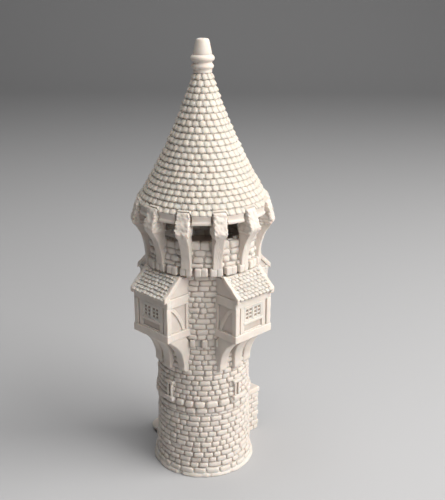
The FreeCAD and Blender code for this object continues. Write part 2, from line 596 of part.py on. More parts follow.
b = new_body("roof_shell")
outer, inner = [], []
for i in range(ROWS + 1):
    level = roof_level(i / float(ROWS))
    outer.append((roof_radius(level) - C["tile_thick"], level))
for i in range(10):
    level = C["roof_seat_high"] * (1.0 - i / 9.0) + 131.0 * (i / 9.0)
    inner.append((roof_radius(level) - C["tile_thick"] - C["roof_wall"], level))
revolve(b, "roof_shell_bell",
        [(C["roof_seat_in"], C["plate_high"]), (C["plate_out"] + 0.2, C["plate_high"]), (C["plate_out"] + 0.2, C["eaves_high"]),
         (outer[0][0], C["eaves_high"])] + outer
        + [(0, C["roof_high"]), (0, 133.0)] + inner[::-1] + [(C["roof_seat_in"], C["roof_seat_high"])])
sk = sketch(b, "shell_slot_outline", "XY_Plane", [rect(17.5, -C["slot_wide"] * 0.5, 27, C["slot_wide"] * 0.5)],
            lift=C["eaves_bead_low"] - 1.0, turn=15.0)
slot = pocket(b, "shell_slot", sk, C["slot_high"] - C["eaves_bead_low"] + 1.0, back=True)
around(b, "shell_slots", slot, 12)

b = new_body("roof_tiles")
loop = []
for i in range(ROWS):
    low, high = roof_level(i / float(ROWS)), roof_level((i + 1) / float(ROWS))
    loop.append((roof_radius(low) + C["tile_edge"], low))
    loop.append((roof_radius(high), high))
revolve(b, "roof_tile_skin", loop + outer[::-1])
sk = sketch(b, "tile_slot_outline", "XY_Plane", [rect(17.5, -C["slot_wide"] * 0.5, 27, C["slot_wide"] * 0.5)],
            lift=C["eaves_bead_low"] - 1.0, turn=15.0)
slot = pocket(b, "tile_slot", sk, C["slot_high"] - C["eaves_bead_low"] + 1.0, back=True)
around(b, "tile_slots", slot, 12)

b = new_body("eaves_ring")
revolve(b, "eaves_band", [(C["eaves_in"], C["eaves_bead_low"]), (C["eaves_bead_out"] - 0.4, C["eaves_bead_low"]),
                          (C["eaves_bead_out"], C["eaves_bead_low"] + 0.35), (C["eaves_bead_out"], C["eaves_bead_high"] - 0.3),
                          (C["eaves_out"], C["eaves_bead_high"]), (C["eaves_out"], C["eaves_high"]),
                          (C["eaves_in"], C["eaves_high"])])
sk = sketch(b, "eaves_slot_outline", "XY_Plane", [rect(17.5, -C["slot_wide"] * 0.5, 27, C["slot_wide"] * 0.5)],
            lift=C["eaves_bead_low"] - 1.0, turn=15.0)
slot = pocket(b, "eaves_slot", sk, C["slot_high"] - C["eaves_bead_low"] + 1.0, back=True)
around(b, "eaves_slots", slot, 12)

b = new_body("finial_collars")
revolve(b, "finial_turning", [(0, C["finial_low"]), (3.5, C["finial_low"]), (2.95, C["finial_low"] + 0.9), (3.1, C["finial_low"] + 1.9),
                              (3.6, C["finial_low"] + 2.7), (3.4, C["finial_low"] + 3.3), (2.85, C["finial_low"] + 3.8),
                              (3.6, C["finial_low"] + 4.5), (3.85, C["finial_low"] + 5.2), (3.6, C["finial_low"] + 5.9),
                              (3.15, C["finial_split"]), (0, C["finial_split"])])

b = new_body("finial_plug")
revolve(b, "finial_cone", [(0, C["finial_split"]), (3.0, C["finial_split"]), (2.85, C["finial_split"] + 1.2),
                           (2.1, C["finial_top"] - 0.6), (1.6, C["finial_top"]), (0, C["finial_top"])])

doc.recompute()

# ------------------------------------------------------------------ tests, then the files
problems = []
for obj in doc.Objects:
    state = [str(s) for s in obj.State]
    if any(word in s for s in state for word in ("Invalid", "Error")):
        problems.append("%s is %s" % (obj.Name, state))
for node in NODES:
    shape = node.Shape
    if shape.isNull() or not shape.isValid() or not shape.Solids:
        problems.append("%s has no valid solid" % node.Label)
if problems:
    raise RuntimeError("; ".join(problems))

os.makedirs("parts", exist_ok=True)
for node in NODES:
    node.Shape.exportStep("parts/%s.step" % node.Label)
    box = node.Shape.optimalBoundingBox() if hasattr(node.Shape, "optimalBoundingBox") else node.Shape.BoundBox
    print("%-28s solids %d  volume %9.2f  x %6.1f..%5.1f y %6.1f..%5.1f z %6.1f..%6.1f" % (
        node.Label, len(node.Shape.Solids), node.Shape.Volume, box.XMin, box.XMax, box.YMin, box.YMax, box.ZMin, box.ZMax))
print("%d nodes" % len(NODES))
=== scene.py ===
import math
import bpy
import numpy as np
from mathutils import Matrix, Vector


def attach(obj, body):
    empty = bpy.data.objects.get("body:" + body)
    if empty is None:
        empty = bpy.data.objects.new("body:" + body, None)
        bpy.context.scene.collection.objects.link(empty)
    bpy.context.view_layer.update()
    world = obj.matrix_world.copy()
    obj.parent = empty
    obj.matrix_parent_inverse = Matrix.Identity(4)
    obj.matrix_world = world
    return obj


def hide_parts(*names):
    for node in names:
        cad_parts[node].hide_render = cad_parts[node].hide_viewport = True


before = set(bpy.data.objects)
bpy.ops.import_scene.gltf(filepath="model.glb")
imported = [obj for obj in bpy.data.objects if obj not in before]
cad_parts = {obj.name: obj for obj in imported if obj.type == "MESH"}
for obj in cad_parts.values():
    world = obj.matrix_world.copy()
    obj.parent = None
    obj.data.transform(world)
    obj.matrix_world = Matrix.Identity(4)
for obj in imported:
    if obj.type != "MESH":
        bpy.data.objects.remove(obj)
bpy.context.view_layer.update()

MM = 0.001
PI = math.pi


# ------------------------------------------------------------------ small tools
def noise3(p, freq, seed=0):
    """Smooth value noise in -1..1 at the points p (..., 3), in millimetres."""
    q = np.asarray(p, dtype=np.float64) * freq + np.array([13.7, 57.3, 91.1]) * (seed + 1)
    i = np.floor(q).astype(np.int64)
    f = q - i
    f = f * f * (3.0 - 2.0 * f)

    def h(dx, dy, dz):
        n = (i[..., 0] + dx) * 374761393 + (i[..., 1] + dy) * 668265263 + (i[..., 2] + dz) * 1440670441 + seed * 97
        n = (n ^ (n >> 13)) * 1274126177
        n = n & 0x7fffffff
        n = n ^ (n >> 16)
        return (n & 0xffff) / 32767.5 - 1.0

    x0 = h(0, 0, 0) * (1 - f[..., 0]) + h(1, 0, 0) * f[..., 0]
    x1 = h(0, 1, 0) * (1 - f[..., 0]) + h(1, 1, 0) * f[..., 0]
    x2 = h(0, 0, 1) * (1 - f[..., 0]) + h(1, 0, 1) * f[..., 0]
    x3 = h(0, 1, 1) * (1 - f[..., 0]) + h(1, 1, 1) * f[..., 0]
    y0 = x0 * (1 - f[..., 1]) + x1 * f[..., 1]
    y1 = x2 * (1 - f[..., 1]) + x3 * f[..., 1]
    return y0 * (1 - f[..., 2]) + y1 * f[..., 2]


def spline(points, count):
    """Catmull-Rom curve through the points, count samples."""
    p = np.array(points, dtype=float)
    p = np.vstack([2 * p[0] - p[1], p, 2 * p[-1] - p[-2]])
    t = np.linspace(0, len(points) - 1, count)
    k = np.minimum(t.astype(int), len(points) - 2)
    f = (t - k)[:, None]
    a, b, c, d = p[k], p[k + 1], p[k + 2], p[k + 3]
    return 0.5 * ((2 * b) + (c - a) * f + (2 * a - 5 * b + 4 * c - d) * f ** 2 + (3 * b - a - 3 * c + d) * f ** 3)


def turn_z(p, degrees):
    c, s = math.cos(math.radians(degrees)), math.sin(math.radians(degrees))
    p = np.asarray(p, dtype=float)
    out = p.copy()
    out[..., 0] = p[..., 0] * c - p[..., 1] * s
    out[..., 1] = p[..., 0] * s + p[..., 1] * c
    return out


class Build:
    """Collects vertices, faces and a 0..1 openness value per vertex for one piece, in millimetres; the materials turn a
    low openness value into painted shade.
    """

    def __init__(self):
        self.v, self.c, self.q, self.poly, self.n = [], [], [], [], 0

    def points(self, p, cav=1.0):
        p = np.asarray(p, dtype=float).reshape(-1, 3)
        c = np.broadcast_to(np.asarray(cav, dtype=float).reshape(-1) if np.ndim(cav) else np.full(len(p), float(cav)), (len(p),))
        base = self.n
        self.v.append(p)
        self.c.append(c)
        self.n += len(p)
        return base

    def quads(self, q):
        self.q.append(np.asarray(q, dtype=np.int64).reshape(-1, 4))

    def face(self, idx):
        self.poly.append([int(i) for i in idx])

    def grid(self, p, cav=1.0, wrap=False, flip=False, caps=False):
        """p (m, n, 3): the outward side is where (m direction) x (n direction) points."""
        m, n = p.shape[:2]
        base = self.points(p, cav if np.ndim(cav) == 0 else np.asarray(cav).reshape(-1))
        idx = base + np.arange(m * n).reshape(m, n)
        w = np.concatenate([idx, idx[:, :1]], 1) if wrap else idx
        q = np.stack([w[:-1, :-1], w[1:, :-1], w[1:, 1:], w[:-1, 1:]], -1).reshape(-1, 4)
        self.quads(q[:, ::-1] if flip else q)
        if caps:
            a, b = list(idx[0]), list(idx[-1][::-1])
            if flip:
                a, b = a[::-1], b[::-1]
            self.face(a)
            self.face(b)
        return idx

    def patches(self, p, cav):
        """p (s, a, b, 3): s separate pillows, each closed underneath with one face."""
        s, a, b = p.shape[:3]
        base = self.points(p, np.asarray(cav).reshape(-1))
        idx = base + np.arange(s * a * b).reshape(s, a, b)
        q = np.stack([idx[:, :-1, :-1], idx[:, 1:, :-1], idx[:, 1:, 1:], idx[:, :-1, 1:]], -1).reshape(-1, 4)
        self.quads(q)
        rim = np.concatenate([idx[:, :, 0], idx[:, -1, 1:], idx[:, ::-1, -1][:, 1:], idx[:, 0, ::-1][:, 1:-1]], 1)
        for r in rim[:, ::-1]:
            self.face(r)

    def object(self, name, body, nodes, material, sharp=38.0):
        v = np.concatenate(self.v) * MM
        v[:, 2] = np.maximum(v[:, 2], 0.0)
        c = np.concatenate(self.c)
        q = np.concatenate(self.q) if self.q else np.zeros((0, 4), dtype=np.int64)
        loops = [q.reshape(-1)]
        starts = [np.arange(len(q)) * 4]
        at = len(q) * 4
        if self.poly:
            sizes = np.array([len(f) for f in self.poly])
            loops.append(np.concatenate([np.array(f) for f in self.poly]))
            starts.append(at + np.concatenate([[0], np.cumsum(sizes)[:-1]]))
        loops = np.concatenate(loops).astype(np.int32)
        starts = np.concatenate(starts).astype(np.int32)
        mesh = bpy.data.meshes.new(name)
        mesh.vertices.add(len(v))
        mesh.vertices.foreach_set("co", v.astype(np.float32).reshape(-1))
        mesh.loops.add(len(loops))
        mesh.loops.foreach_set("vertex_index", loops)
        mesh.polygons.add(len(starts))
        mesh.polygons.foreach_set("loop_start", starts)
        mesh.update(calc_edges=True)
        mesh.validate(verbose=False)
        mesh.polygons.foreach_set("use_smooth", np.ones(len(mesh.polygons), dtype=bool))
        mesh.set_sharp_from_angle(angle=math.radians(sharp))
        # the openness value is stored for the materials, which paint shade from it
        attr = mesh.attributes.new("painted_shade_openness", "FLOAT", "POINT")
        attr.data.foreach_set("value", c.astype(np.float32))
        mesh.materials.append(material)
        obj = bpy.data.objects.new(name, mesh)
        bpy.context.scene.collection.objects.link(obj)
        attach(obj, body)
        if nodes:
            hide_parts(*nodes)
        return obj


# ------------------------------------------------------------------ shapes
FR = np.array([0.0, 0.07, 0.25, 0.56, 1.0])


def fillet(d, r):
    x = 1.0 - np.clip(d / r, 0.0, 1.0)
    return np.sqrt(np.clip(1.0 - x * x, 0.0, 1.0))


def levels(h, r, mids):
    left = -h[:, None] + FR[None] * r[:, None]
    mid = np.linspace(-1, 1, mids + 2)[1:-1][None] * (h - r)[:, None]
    right = h[:, None] - (FR[::-1])[None] * r[:, None]
    return np.concatenate([left, mid, right], 1)


def pillows(build, cu, cv, hu, hv, thick, mapper, rng, r=0.5, rc=0.58, mids=(2, 1), tilt=0.07, rough=0.05, skew=0.07, crown=0.06, rside=None, floor=0.34):
    """Rounded stones: centres and half sizes along u and v, mapped to space by mapper(u, v, height)."""
    cu, cv, hu, hv = [np.atleast_1d(np.asarray(x, dtype=float)) for x in (cu, cv, hu, hv)]
    s = len(cu)
    thick = np.broadcast_to(np.asarray(thick, dtype=float), (s,))
    ru = np.minimum(rside or r, hu * 0.8)
    rv = np.minimum(r, hv * 0.8)
    u = levels(hu, ru, mids[0])[:, :, None]
    v = levels(hv, rv, mids[1])[:, None, :]
    u, v = np.broadcast_arrays(u, v)
    u, v = u.copy(), v.copy()
    du = hu[:, None, None] - np.abs(u)
    dv = hv[:, None, None] - np.abs(v)
    e = fillet(du, ru[:, None, None]) * fillet(dv, rv[:, None, None])
    k = np.minimum(np.minimum(rc, hu * 0.9), hv * 0.9)[:, None, None]
    uu, vv = k - du, k - dv
    corner = (uu > 0) & (vv > 0)
    big, ln = np.maximum(uu, vv), np.hypot(uu, vv) + 1e-9
    scale = np.where(corner, big / ln, 1.0)
    u = np.where(corner, np.sign(u) * (hu[:, None, None] - k + uu * scale), u)
    v = np.where(corner, np.sign(v) * (hv[:, None, None] - k + vv * scale), v)
    au, av = u / hu[:, None, None], v / hv[:, None, None]
    j = lambda w: rng.uniform(-w, w, s)[:, None, None]
    un = u * (1.0 + j(skew) * av) + j(0.06) * av
    vn = v * (1.0 + j(skew) * au) + j(0.05) * au
    height = e * (thick[:, None, None] + j(tilt) * au + j(tilt) * av + crown * (1 - au ** 2) * (1 - av ** 2))
    uc, vc = cu[:, None, None] + un, cv[:, None, None] + vn
    q = np.stack([uc, vc, np.zeros_like(uc)], -1)
    lump = noise3(q, 0.75, 3) * rough + noise3(q, 1.9, 4) * rough * 0.6
    height = height + e * lump
    edge = (1 - e)
    uc = uc + edge * noise3(q, 1.3, 5) * 0.10
    vc = vc + edge * noise3(q, 1.3, 6) * 0.07
    # openness falls from 1 on a stone's face to floor at its rounded rim: painted shade in the joints between stones
    build.patches(mapper(uc, vc, height), floor + (1 - floor) * np.clip(e * 1.02, 0, 1))


def course_joints(rng, length, wmin, wmax, previous):
    """Joint positions round a course, staggered against the course below."""
    best = None
    for trial in range(24):
        count = int(round(length / (0.5 * (wmin + wmax))))
        w = wmin + (wmax - wmin) * rng.beta(0.8, 0.8, count)
        w *= length / w.sum()
        j = (rng.uniform(0, length) + np.cumsum(w)) % length
        if previous is None:
            best = (0, j, w)
            break
        d = np.abs(j[:, None] - previous[None])
        d = np.minimum(d, length - d).min(1)
        score = np.percentile(d, 12)
        if best is None or score > best[0]:
            best = (score, j, w)
    return best[1], best[2]


def ring_map(radius):
    """Maps u as arc length at the wall, v as height; radius(z) is the wall at the joints."""
    def mapper(u, v, height):
        base = radius(v)
        ang = u / REF
        rad = base - 0.10 + height
        return np.stack([rad * np.cos(ang), rad * np.sin(ang), v], -1)
    return mapper


REF = 16.3


def plane_map(origin, e1, e2, degrees, sink=0.1):
    o, a, b = [np.array(x, dtype=float) for x in (origin, e1, e2)]
    n = np.cross(a, b)
    n = n / np.linalg.norm(n)

    def mapper(u, v, height):
        p = o + u[..., None] * a + v[..., None] * b + (height - sink)[..., None] * n
        return turn_z(p, degrees)
    return mapper


def wall_courses(build, rows, radius, seed, joint=0.10):
    """rows: (low, high, thickness, narrowest, widest)."""
    rng = np.random.default_rng(seed)
    length = 2 * PI * REF
    previous = None
    for low, high, thick, wmin, wmax in rows:
        j, w = course_joints(rng, length, wmin, wmax, previous)
        previous = j
        centre = j - w * 0.5
        s = len(w)
        gap = joint * rng.uniform(0.5, 1.6, s)
        t = np.clip(rng.normal(thick, 0.10, s), thick - 0.26, thick + 0.22)
        pillows(build, centre, np.full(s, 0.5 * (low + high)) + rng.uniform(-0.07, 0.07, s), w * 0.5 - gap * 0.5,
                np.full(s, 0.5 * (high - low) - joint * 0.35) * rng.uniform(0.94, 1.03, s), t + 0.10, ring_map(radius), rng,
                mids=(3, 1), r=0.52, rc=0.62, skew=0.08, rough=0.06)


_cube_cache = {}


def cube_template(nx, ny, nz):
    """Surface vertices of a lattice box and its outward quads."""
    key = (nx, ny, nz)
    if key in _cube_cache:
        return _cube_cache[key]
    ijk = [(i, j, k) for i in range(nx) for j in range(ny) for k in range(nz)
           if i in (0, nx - 1) or j in (0, ny - 1) or k in (0, nz - 1)]
    at = {t: n for n, t in enumerate(ijk)}
    faces = []
    for k, up in ((0, False), (nz - 1, True)):
        for i in range(nx - 1):
            for j in range(ny - 1):
                f = [at[(i, j, k)], at[(i + 1, j, k)], at[(i + 1, j + 1, k)], at[(i, j + 1, k)]]
                faces.append(f if up else f[::-1])
    for j, up in ((0, True), (ny - 1, False)):
        for i in range(nx - 1):
            for k in range(nz - 1):
                f = [at[(i, j, k)], at[(i + 1, j, k)], at[(i + 1, j, k + 1)], at[(i, j, k + 1)]]
                faces.append(f if up else f[::-1])
    for i, up in ((0, False), (nx - 1, True)):
        for j in range(ny - 1):
            for k in range(nz - 1):
                f = [at[(i, j, k)], at[(i, j + 1, k)], at[(i, j + 1, k + 1)], at[(i, j, k + 1)]]
                faces.append(f if up else f[::-1])
    _cube_cache[key] = (np.array(ijk), np.array(faces))
    return _cube_cache[key]


def block(build, lo, hi, r=0.3, step=1.2, rough=0.05, grain=None, grain_amp=0.05, bend=None, seed=0, shape=None, cav=1.0):
    """A rounded block between two corners. grain is the axis that fine grooves run along; shape(p) moves its points."""
    lo, hi = np.minimum(lo, hi).astype(float), np.maximum(lo, hi).astype(float)
    c, h = 0.5 * (lo + hi), 0.5 * (hi - lo)
    rr = min(r, h.min() * 0.85)
    axes = []
    for a in range(3):
        st = step if grain is None or a == grain else min(step, 0.22)
        mids = max(1, int(math.ceil(2 * (h[a] - rr) / st)) - 1)
        inner = np.linspace(-(h[a] - rr), h[a] - rr, mids + 2)
        axes.append(np.concatenate([[-h[a], -h[a] + 0.35 * rr], inner, [h[a] - 0.35 * rr, h[a]]]))
    ijk, faces = cube_template(*[len(x) for x in axes])
    p = np.stack([axes[a][ijk[:, a]] for a in range(3)], -1)
    q = np.clip(p, -(h - rr), h - rr)
    d = p - q
    ln = np.linalg.norm(d, axis=1)[:, None] + 1e-9
    nrm = d / ln
    p = q + nrm * rr
    w = p + c
    if shape is not None:
        p = shape(w) - c
        w = p + c
    out = np.stack([noise3(w, 0.7, seed + 11), noise3(w, 0.7, seed + 12), noise3(w, 0.7, seed + 13)], -1) * rough
    p = p + out
    if grain is not None:
        s = np.array([3.4, 3.4, 3.4])
        s[grain] = 0.22
        g = noise3(w * s, 1.0, seed + 20) * 0.65 + noise3(w * s * 2.0, 1.0, seed + 21) * 0.35
        p = p + nrm * (g * grain_amp)[:, None]
    return p + c, faces, cav


def put(build, part, degrees=0.0):
    p, faces, cav = part
    base = build.points(turn_z(p, degrees), cav)
    build.quads(faces + base)


def extrude(build, outline, y0, y1, degrees=0.0, cav=1.0):
    """A prism: outline is a closed counter-clockwise loop in x, z; y0 < y1."""
    o = np.array(outline, dtype=float)
    n = len(o)
    a = np.stack([o[:, 0], np.full(n, y0), o[:, 1]], -1)
    b = np.stack([o[:, 0], np.full(n, y1), o[:, 1]], -1)
    base = build.points(turn_z(np.vstack([a, b]), degrees), cav)
    i = np.arange(n)
    k = (i + 1) % n
    build.quads(np.stack([base + i, base + n + i, base + n + k, base + k], -1)[:, ::-1])
    build.face(base + i)
    build.face((base + n + i)[::-1])


def lathe(build, profile, count=160, cav=1.0, closed=False, wobble=0.0, seed=0):
    """profile (r, z) from the bottom up the outside; points on the axis close it."""
    prof = np.array(profile, dtype=float)
    ang = np.linspace(0, 2 * PI, count, endpoint=False)
    on_axis = prof[:, 0] < 1e-6
    ring = prof[~on_axis]
    r = ring[:, 0][None, :] + np.zeros((count, 1))
    z = ring[:, 1][None, :] + np.zeros((count, 1))
    p = np.stack([r * np.cos(ang)[:, None], r * np.sin(ang)[:, None], z], -1)
    if wobble:
        k = 1 + wobble * noise3(p, 0.5, seed)
        p[..., 0] *= k
        p[..., 1] *= k
    m = ring.shape[0]
    base = build.points(p, cav)
    idx = base + np.arange(count * m).reshape(count, m)
    w = np.concatenate([idx, idx[:1]], 0)
    q = np.stack([w[:-1, :-1], w[1:, :-1], w[1:, 1:], w[:-1, 1:]], -1).reshape(-1, 4)
    build.quads(q)
    if closed:
        q = np.stack([w[:-1, -1], w[1:, -1], w[1:, 0], w[:-1, 0]], -1)
        build.quads(q)
    else:
        if on_axis[0]:
            build.face(idx[::-1, 0])
        if on_axis[-1]:
            build.face(idx[:, -1])


# ------------------------------------------------------------------ resin
def resin(name, tint=(1.0, 1.0, 1.0), kind="stone"):
    """Warm off-white matt resin with a fine moulded texture; its colour carries painted shade, paler on what stands out
    and browner in the joints and hollows, after the openness value.
    """
    mat = bpy.data.materials.new(name)
    mat.use_nodes = True
    nt = mat.node_tree
    nt.nodes.clear()
    new = lambda t: nt.nodes.new(t)
    out, bsdf = new("ShaderNodeOutputMaterial"), new("ShaderNodeBsdfPrincipled")
    nt.links.new(bsdf.outputs[0], out.inputs[0])
    attr = new("ShaderNodeAttribute")
    attr.attribute_type = "GEOMETRY"
    attr.attribute_name = "painted_shade_openness"
    ramp = new("ShaderNodeValToRGB")
    # painted shade: the ramps run from shaded brown at openness 0 to lit ivory at 1; the inside ramp is darker all
    # through, painted shade for the shaded room in the gallery
    stops = {"stone": [(0.0, (0.30, 0.225, 0.185)), (0.3, (0.47, 0.395, 0.345)), (0.7, (0.630, 0.568, 0.515)), (1.0, (0.665, 0.605, 0.550))],
             "inside": [(0.0, (0.17, 0.105, 0.09)), (0.5, (0.27, 0.18, 0.15)), (0.8, (0.35, 0.24, 0.205)), (1.0, (0.38, 0.265, 0.225))]}
    use = stops["inside" if kind == "inside" else "stone"]
    el = ramp.color_ramp.elements
    while len(el) < len(use):
        el.new(0.5)
    for e, (pos, col) in zip(el, use):
        e.position = pos
        e.color = (col[0] * tint[0], col[1] * tint[1], col[2] * tint[2], 1.0)
    nt.links.new(attr.outputs["Fac"], ramp.inputs["Fac"])
    tex = new("ShaderNodeTexCoord")
    cloud = new("ShaderNodeTexNoise")
    cloud.inputs["Scale"].default_value = 160.0
    cloud.inputs["Detail"].default_value = 5.0
    cloud.inputs["Roughness"].default_value = 0.6
    nt.links.new(tex.outputs["Object"], cloud.inputs["Vector"])
    span = new("ShaderNodeMapRange")
    span.inputs["From Min"].default_value = 0.3
    span.inputs["From Max"].default_value = 0.7
    span.inputs["To Min"].default_value = 0.90
    span.inputs["To Max"].default_value = 1.06
    nt.links.new(cloud.outputs["Fac"], span.inputs["Value"])
    mix = new("ShaderNodeMix")
    mix.data_type = "RGBA"
    mix.blend_type = "MULTIPLY"
    mix.inputs["Factor"].default_value = 1.0
    nt.links.new(ramp.outputs["Color"], mix.inputs[6])
    nt.links.new(span.outputs["Result"], mix.inputs[7])
    nt.links.new(mix.outputs[2], bsdf.inputs["Base Color"])
    # fine moulded skin: pebbly on stone, long grain on timber
    fine = new("ShaderNodeTexNoise")
    fine.inputs["Scale"].default_value = 1400.0 if kind != "timber" else 1500.0
    fine.inputs["Detail"].default_value = 4.0
    fine.inputs["Roughness"].default_value = 0.65
    if kind == "timber":
        mapping = new("ShaderNodeMapping")
        mapping.inputs["Scale"].default_value = (1.0, 1.0, 0.06)
        nt.links.new(tex.outputs["Object"], mapping.inputs["Vector"])
        nt.links.new(mapping.outputs["Vector"], fine.inputs["Vector"])
    else:
        nt.links.new(tex.outputs["Object"], fine.inputs["Vector"])
    bump = new("ShaderNodeBump")
    bump.inputs["Strength"].default_value = {"stone": 0.35, "tile": 0.3, "timber": 0.4, "smooth": 0.12, "inside": 0.3}[kind]
    bump.inputs["Distance"].default_value = 0.00012
    nt.links.new(fine.outputs["Fac"], bump.inputs["Height"])
    nt.links.new(bump.outputs["Normal"], bsdf.inputs["Normal"])
    rough = new("ShaderNodeMapRange")
    rough.inputs["From Min"].default_value = 0.3
    rough.inputs["From Max"].default_value = 0.7
    rough.inputs["To Min"].default_value = 0.50
    rough.inputs["To Max"].default_value = 0.66
    nt.links.new(fine.outputs["Fac"], rough.inputs["Value"])
    nt.links.new(rough.outputs["Result"], bsdf.inputs["Roughness"])
    bsdf.inputs["Specular IOR Level"].default_value = 0.35
    bsdf.inputs["Subsurface Weight"].default_value = 0.32 if kind != "inside" else 0.0
    bsdf.inputs["Subsurface Radius"].default_value = (1.0, 0.55, 0.35)
    bsdf.inputs["Subsurface Scale"].default_value = 0.0009
    return mat


STONE = resin("resin_stone_skin", kind="stone")
TILE = resin("resin_tile_skin", kind="tile")
# painted shade: the cone tiles are tinted darker and warmer than the other resin, to tone down the light on the roof
CONE = resin("resin_cone_tile_painted_shade", tint=(0.95, 0.93, 0.90), kind="tile")
TIMBER = resin("resin_timber_skin", tint=(1.02, 1.01, 1.0), kind="timber")
SMOOTH = resin("resin_smooth_skin", tint=(1.02, 1.01, 1.0), kind="smooth")
# painted shade: a dark brown resin for the shaded inside of the gallery
INSIDE_PAINTED_SHADE = resin("resin_inside_painted_shade", kind="inside")


def carried(node, material, painted_shade_openness):
    """Gives a CAD node that stays in view its material; its openness argument is not used."""
    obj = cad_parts[node]
    for slot in obj.material_slots:
        slot.material = material
    if not obj.material_slots:
        obj.data.materials.append(material)


# the CAD nodes that stay in view have no openness value of their own, so they get materials that need none
def plain_resin(name, colour, kind):
    mat = resin(name, kind=kind)
    for node in mat.node_tree.nodes:
        if node.type == "VALTORGB":
            for e in node.color_ramp.elements:
                e.color = (*colour, 1.0)
    return mat


# painted shade: the backing walls and the roof shell seen in the joints are coloured darker than the resin, for the
# shade in the joints
JOINT_PAINTED_SHADE = plain_resin("resin_joint_painted_shade", (0.53, 0.455, 0.405), "stone")
PLAIN = plain_resin("resin_plain_skin", (0.62, 0.555, 0.505), "smooth")
# painted shade: the gallery floor is resin coloured darker and browner, for the shade inside the roofed gallery
ROOM_PAINTED_SHADE = plain_resin("resin_room_painted_shade", (0.54, 0.445, 0.395), "inside")

# ------------------------------------------------------------------ ground storey
def ground_radius(z):
    return 16.5 + (15.9 - 16.5) * np.clip((z - 3.0) / 21.5, 0, 1) + 0.25 * np.clip((5.5 - z) / 3.0, 0, 1)


ROWS_GROUND = [(3.2 + 2.01 * i, 3.2 + 2.01 * (i + 1), t, lo, hi) for i, (t, lo, hi) in enumerate(
    [(0.55, 2.3, 4.6), (0.5, 2.0, 4.4), (0.66, 2.6, 5.0), (0.5, 2.0, 4.2), (0.5, 1.9, 4.0), (0.52, 2.2, 4.6), (0.5, 2.0, 4.6),
     (0.52, 1.9, 3.8), (0.52, 2.2, 4.8), (0.5, 2.0, 4.4)])] + [(23.32, 24.48, 0.24, 2.2, 3.6)]
b = Build()
wall_courses(b, ROWS_GROUND, ground_radius, 41)
ground_stones = b.object("ground_wall_stones", "ground_storey", [], STONE)
carried("ground_wall", JOINT_PAINTED_SHADE, 0)
carried("ground_floor", PLAIN, 0)

# foot course: uneven stones that die into a smooth lip, with one notch in the lip
b = Build()
rng = np.random.default_rng(7)
foot_r = lambda z: 17.15 + 0 * z
length = 2 * PI * REF
j, w = course_joints(rng, length, 2.4, 5.2, None)
pillows(b, j - w * 0.5, 2.06 + rng.uniform(-0.08, 0.08, len(w)), w * 0.5 - 0.05, np.full(len(w), 1.12), rng.uniform(0.42, 0.75, len(w)),
        ring_map(foot_r), rng, r=0.55, rc=0.7, mids=(3, 1), rough=0.09)
ang = np.linspace(0, 2 * PI, 420, endpoint=False)
prof = np.array([(15.4, 0.0), (17.75, 0.0), (18.12, 0.08), (18.26, 0.32), (18.2, 0.72), (17.98, 1.1), (17.6, 1.45), (17.15, 1.8), (17.1, 3.1), (16.4, 3.15), (15.4, 3.15)])
edge = np.array([0, 0.8, 1, 1, 1, 1, 0.8, 0.3, 0, 0, 0])
circle = np.stack([np.cos(ang), np.sin(ang), 0 * ang], -1)
wave = 0.10 * noise3(circle * 18, 0.33, 2) + 0.09 * noise3(circle * 18, 0.9, 8)
for az, wide, deep in ((-27, 1.0, 0.55), (34, 0.7, 0.25), (-62, 0.8, 0.3), (8, 0.6, 0.18), (120, 0.9, 0.35), (-150, 0.8, 0.3)):
    t = math.radians(az - 90)
    d = np.abs((ang - t + PI) % (2 * PI) - PI) * 18.0
    wave = wave - deep * np.exp(-(d / wide) ** 4)
r = prof[:, 0][None] + wave[:, None] * edge[None]
p = np.stack([r * np.cos(ang)[:, None], r * np.sin(ang)[:, None], prof[:, 1][None] + 0 * r], -1)
idx = b.points(p, 1.0) + np.arange(p.shape[0] * p.shape[1]).reshape(p.shape[:2])
w2 = np.concatenate([idx, idx[:1]], 0)
w2 = np.concatenate([w2, w2[:, :1]], 1)
b.quads(np.stack([w2[:-1, :-1], w2[1:, :-1], w2[1:, 1:], w2[:-1, 1:]], -1).reshape(-1, 4))
b.object("foot_course_stones", "ground_storey", ["foot_course"], STONE)


# ------------------------------------------------------------------ doors shared by porch and postern
def arch_outline(half, high, count=10):
    """Left jamb up, round the head and down: y, z."""
    spring = high - 2.3
    pts = [(-half, 0.0), (-half, spring)]
    for t in np.linspace(PI, 0, count)[1:-1]:
        pts.append((half * math.cos(t), spring + 2.3 * math.sin(t)))
    pts += [(half, spring), (half, 0.0)]
    return pts


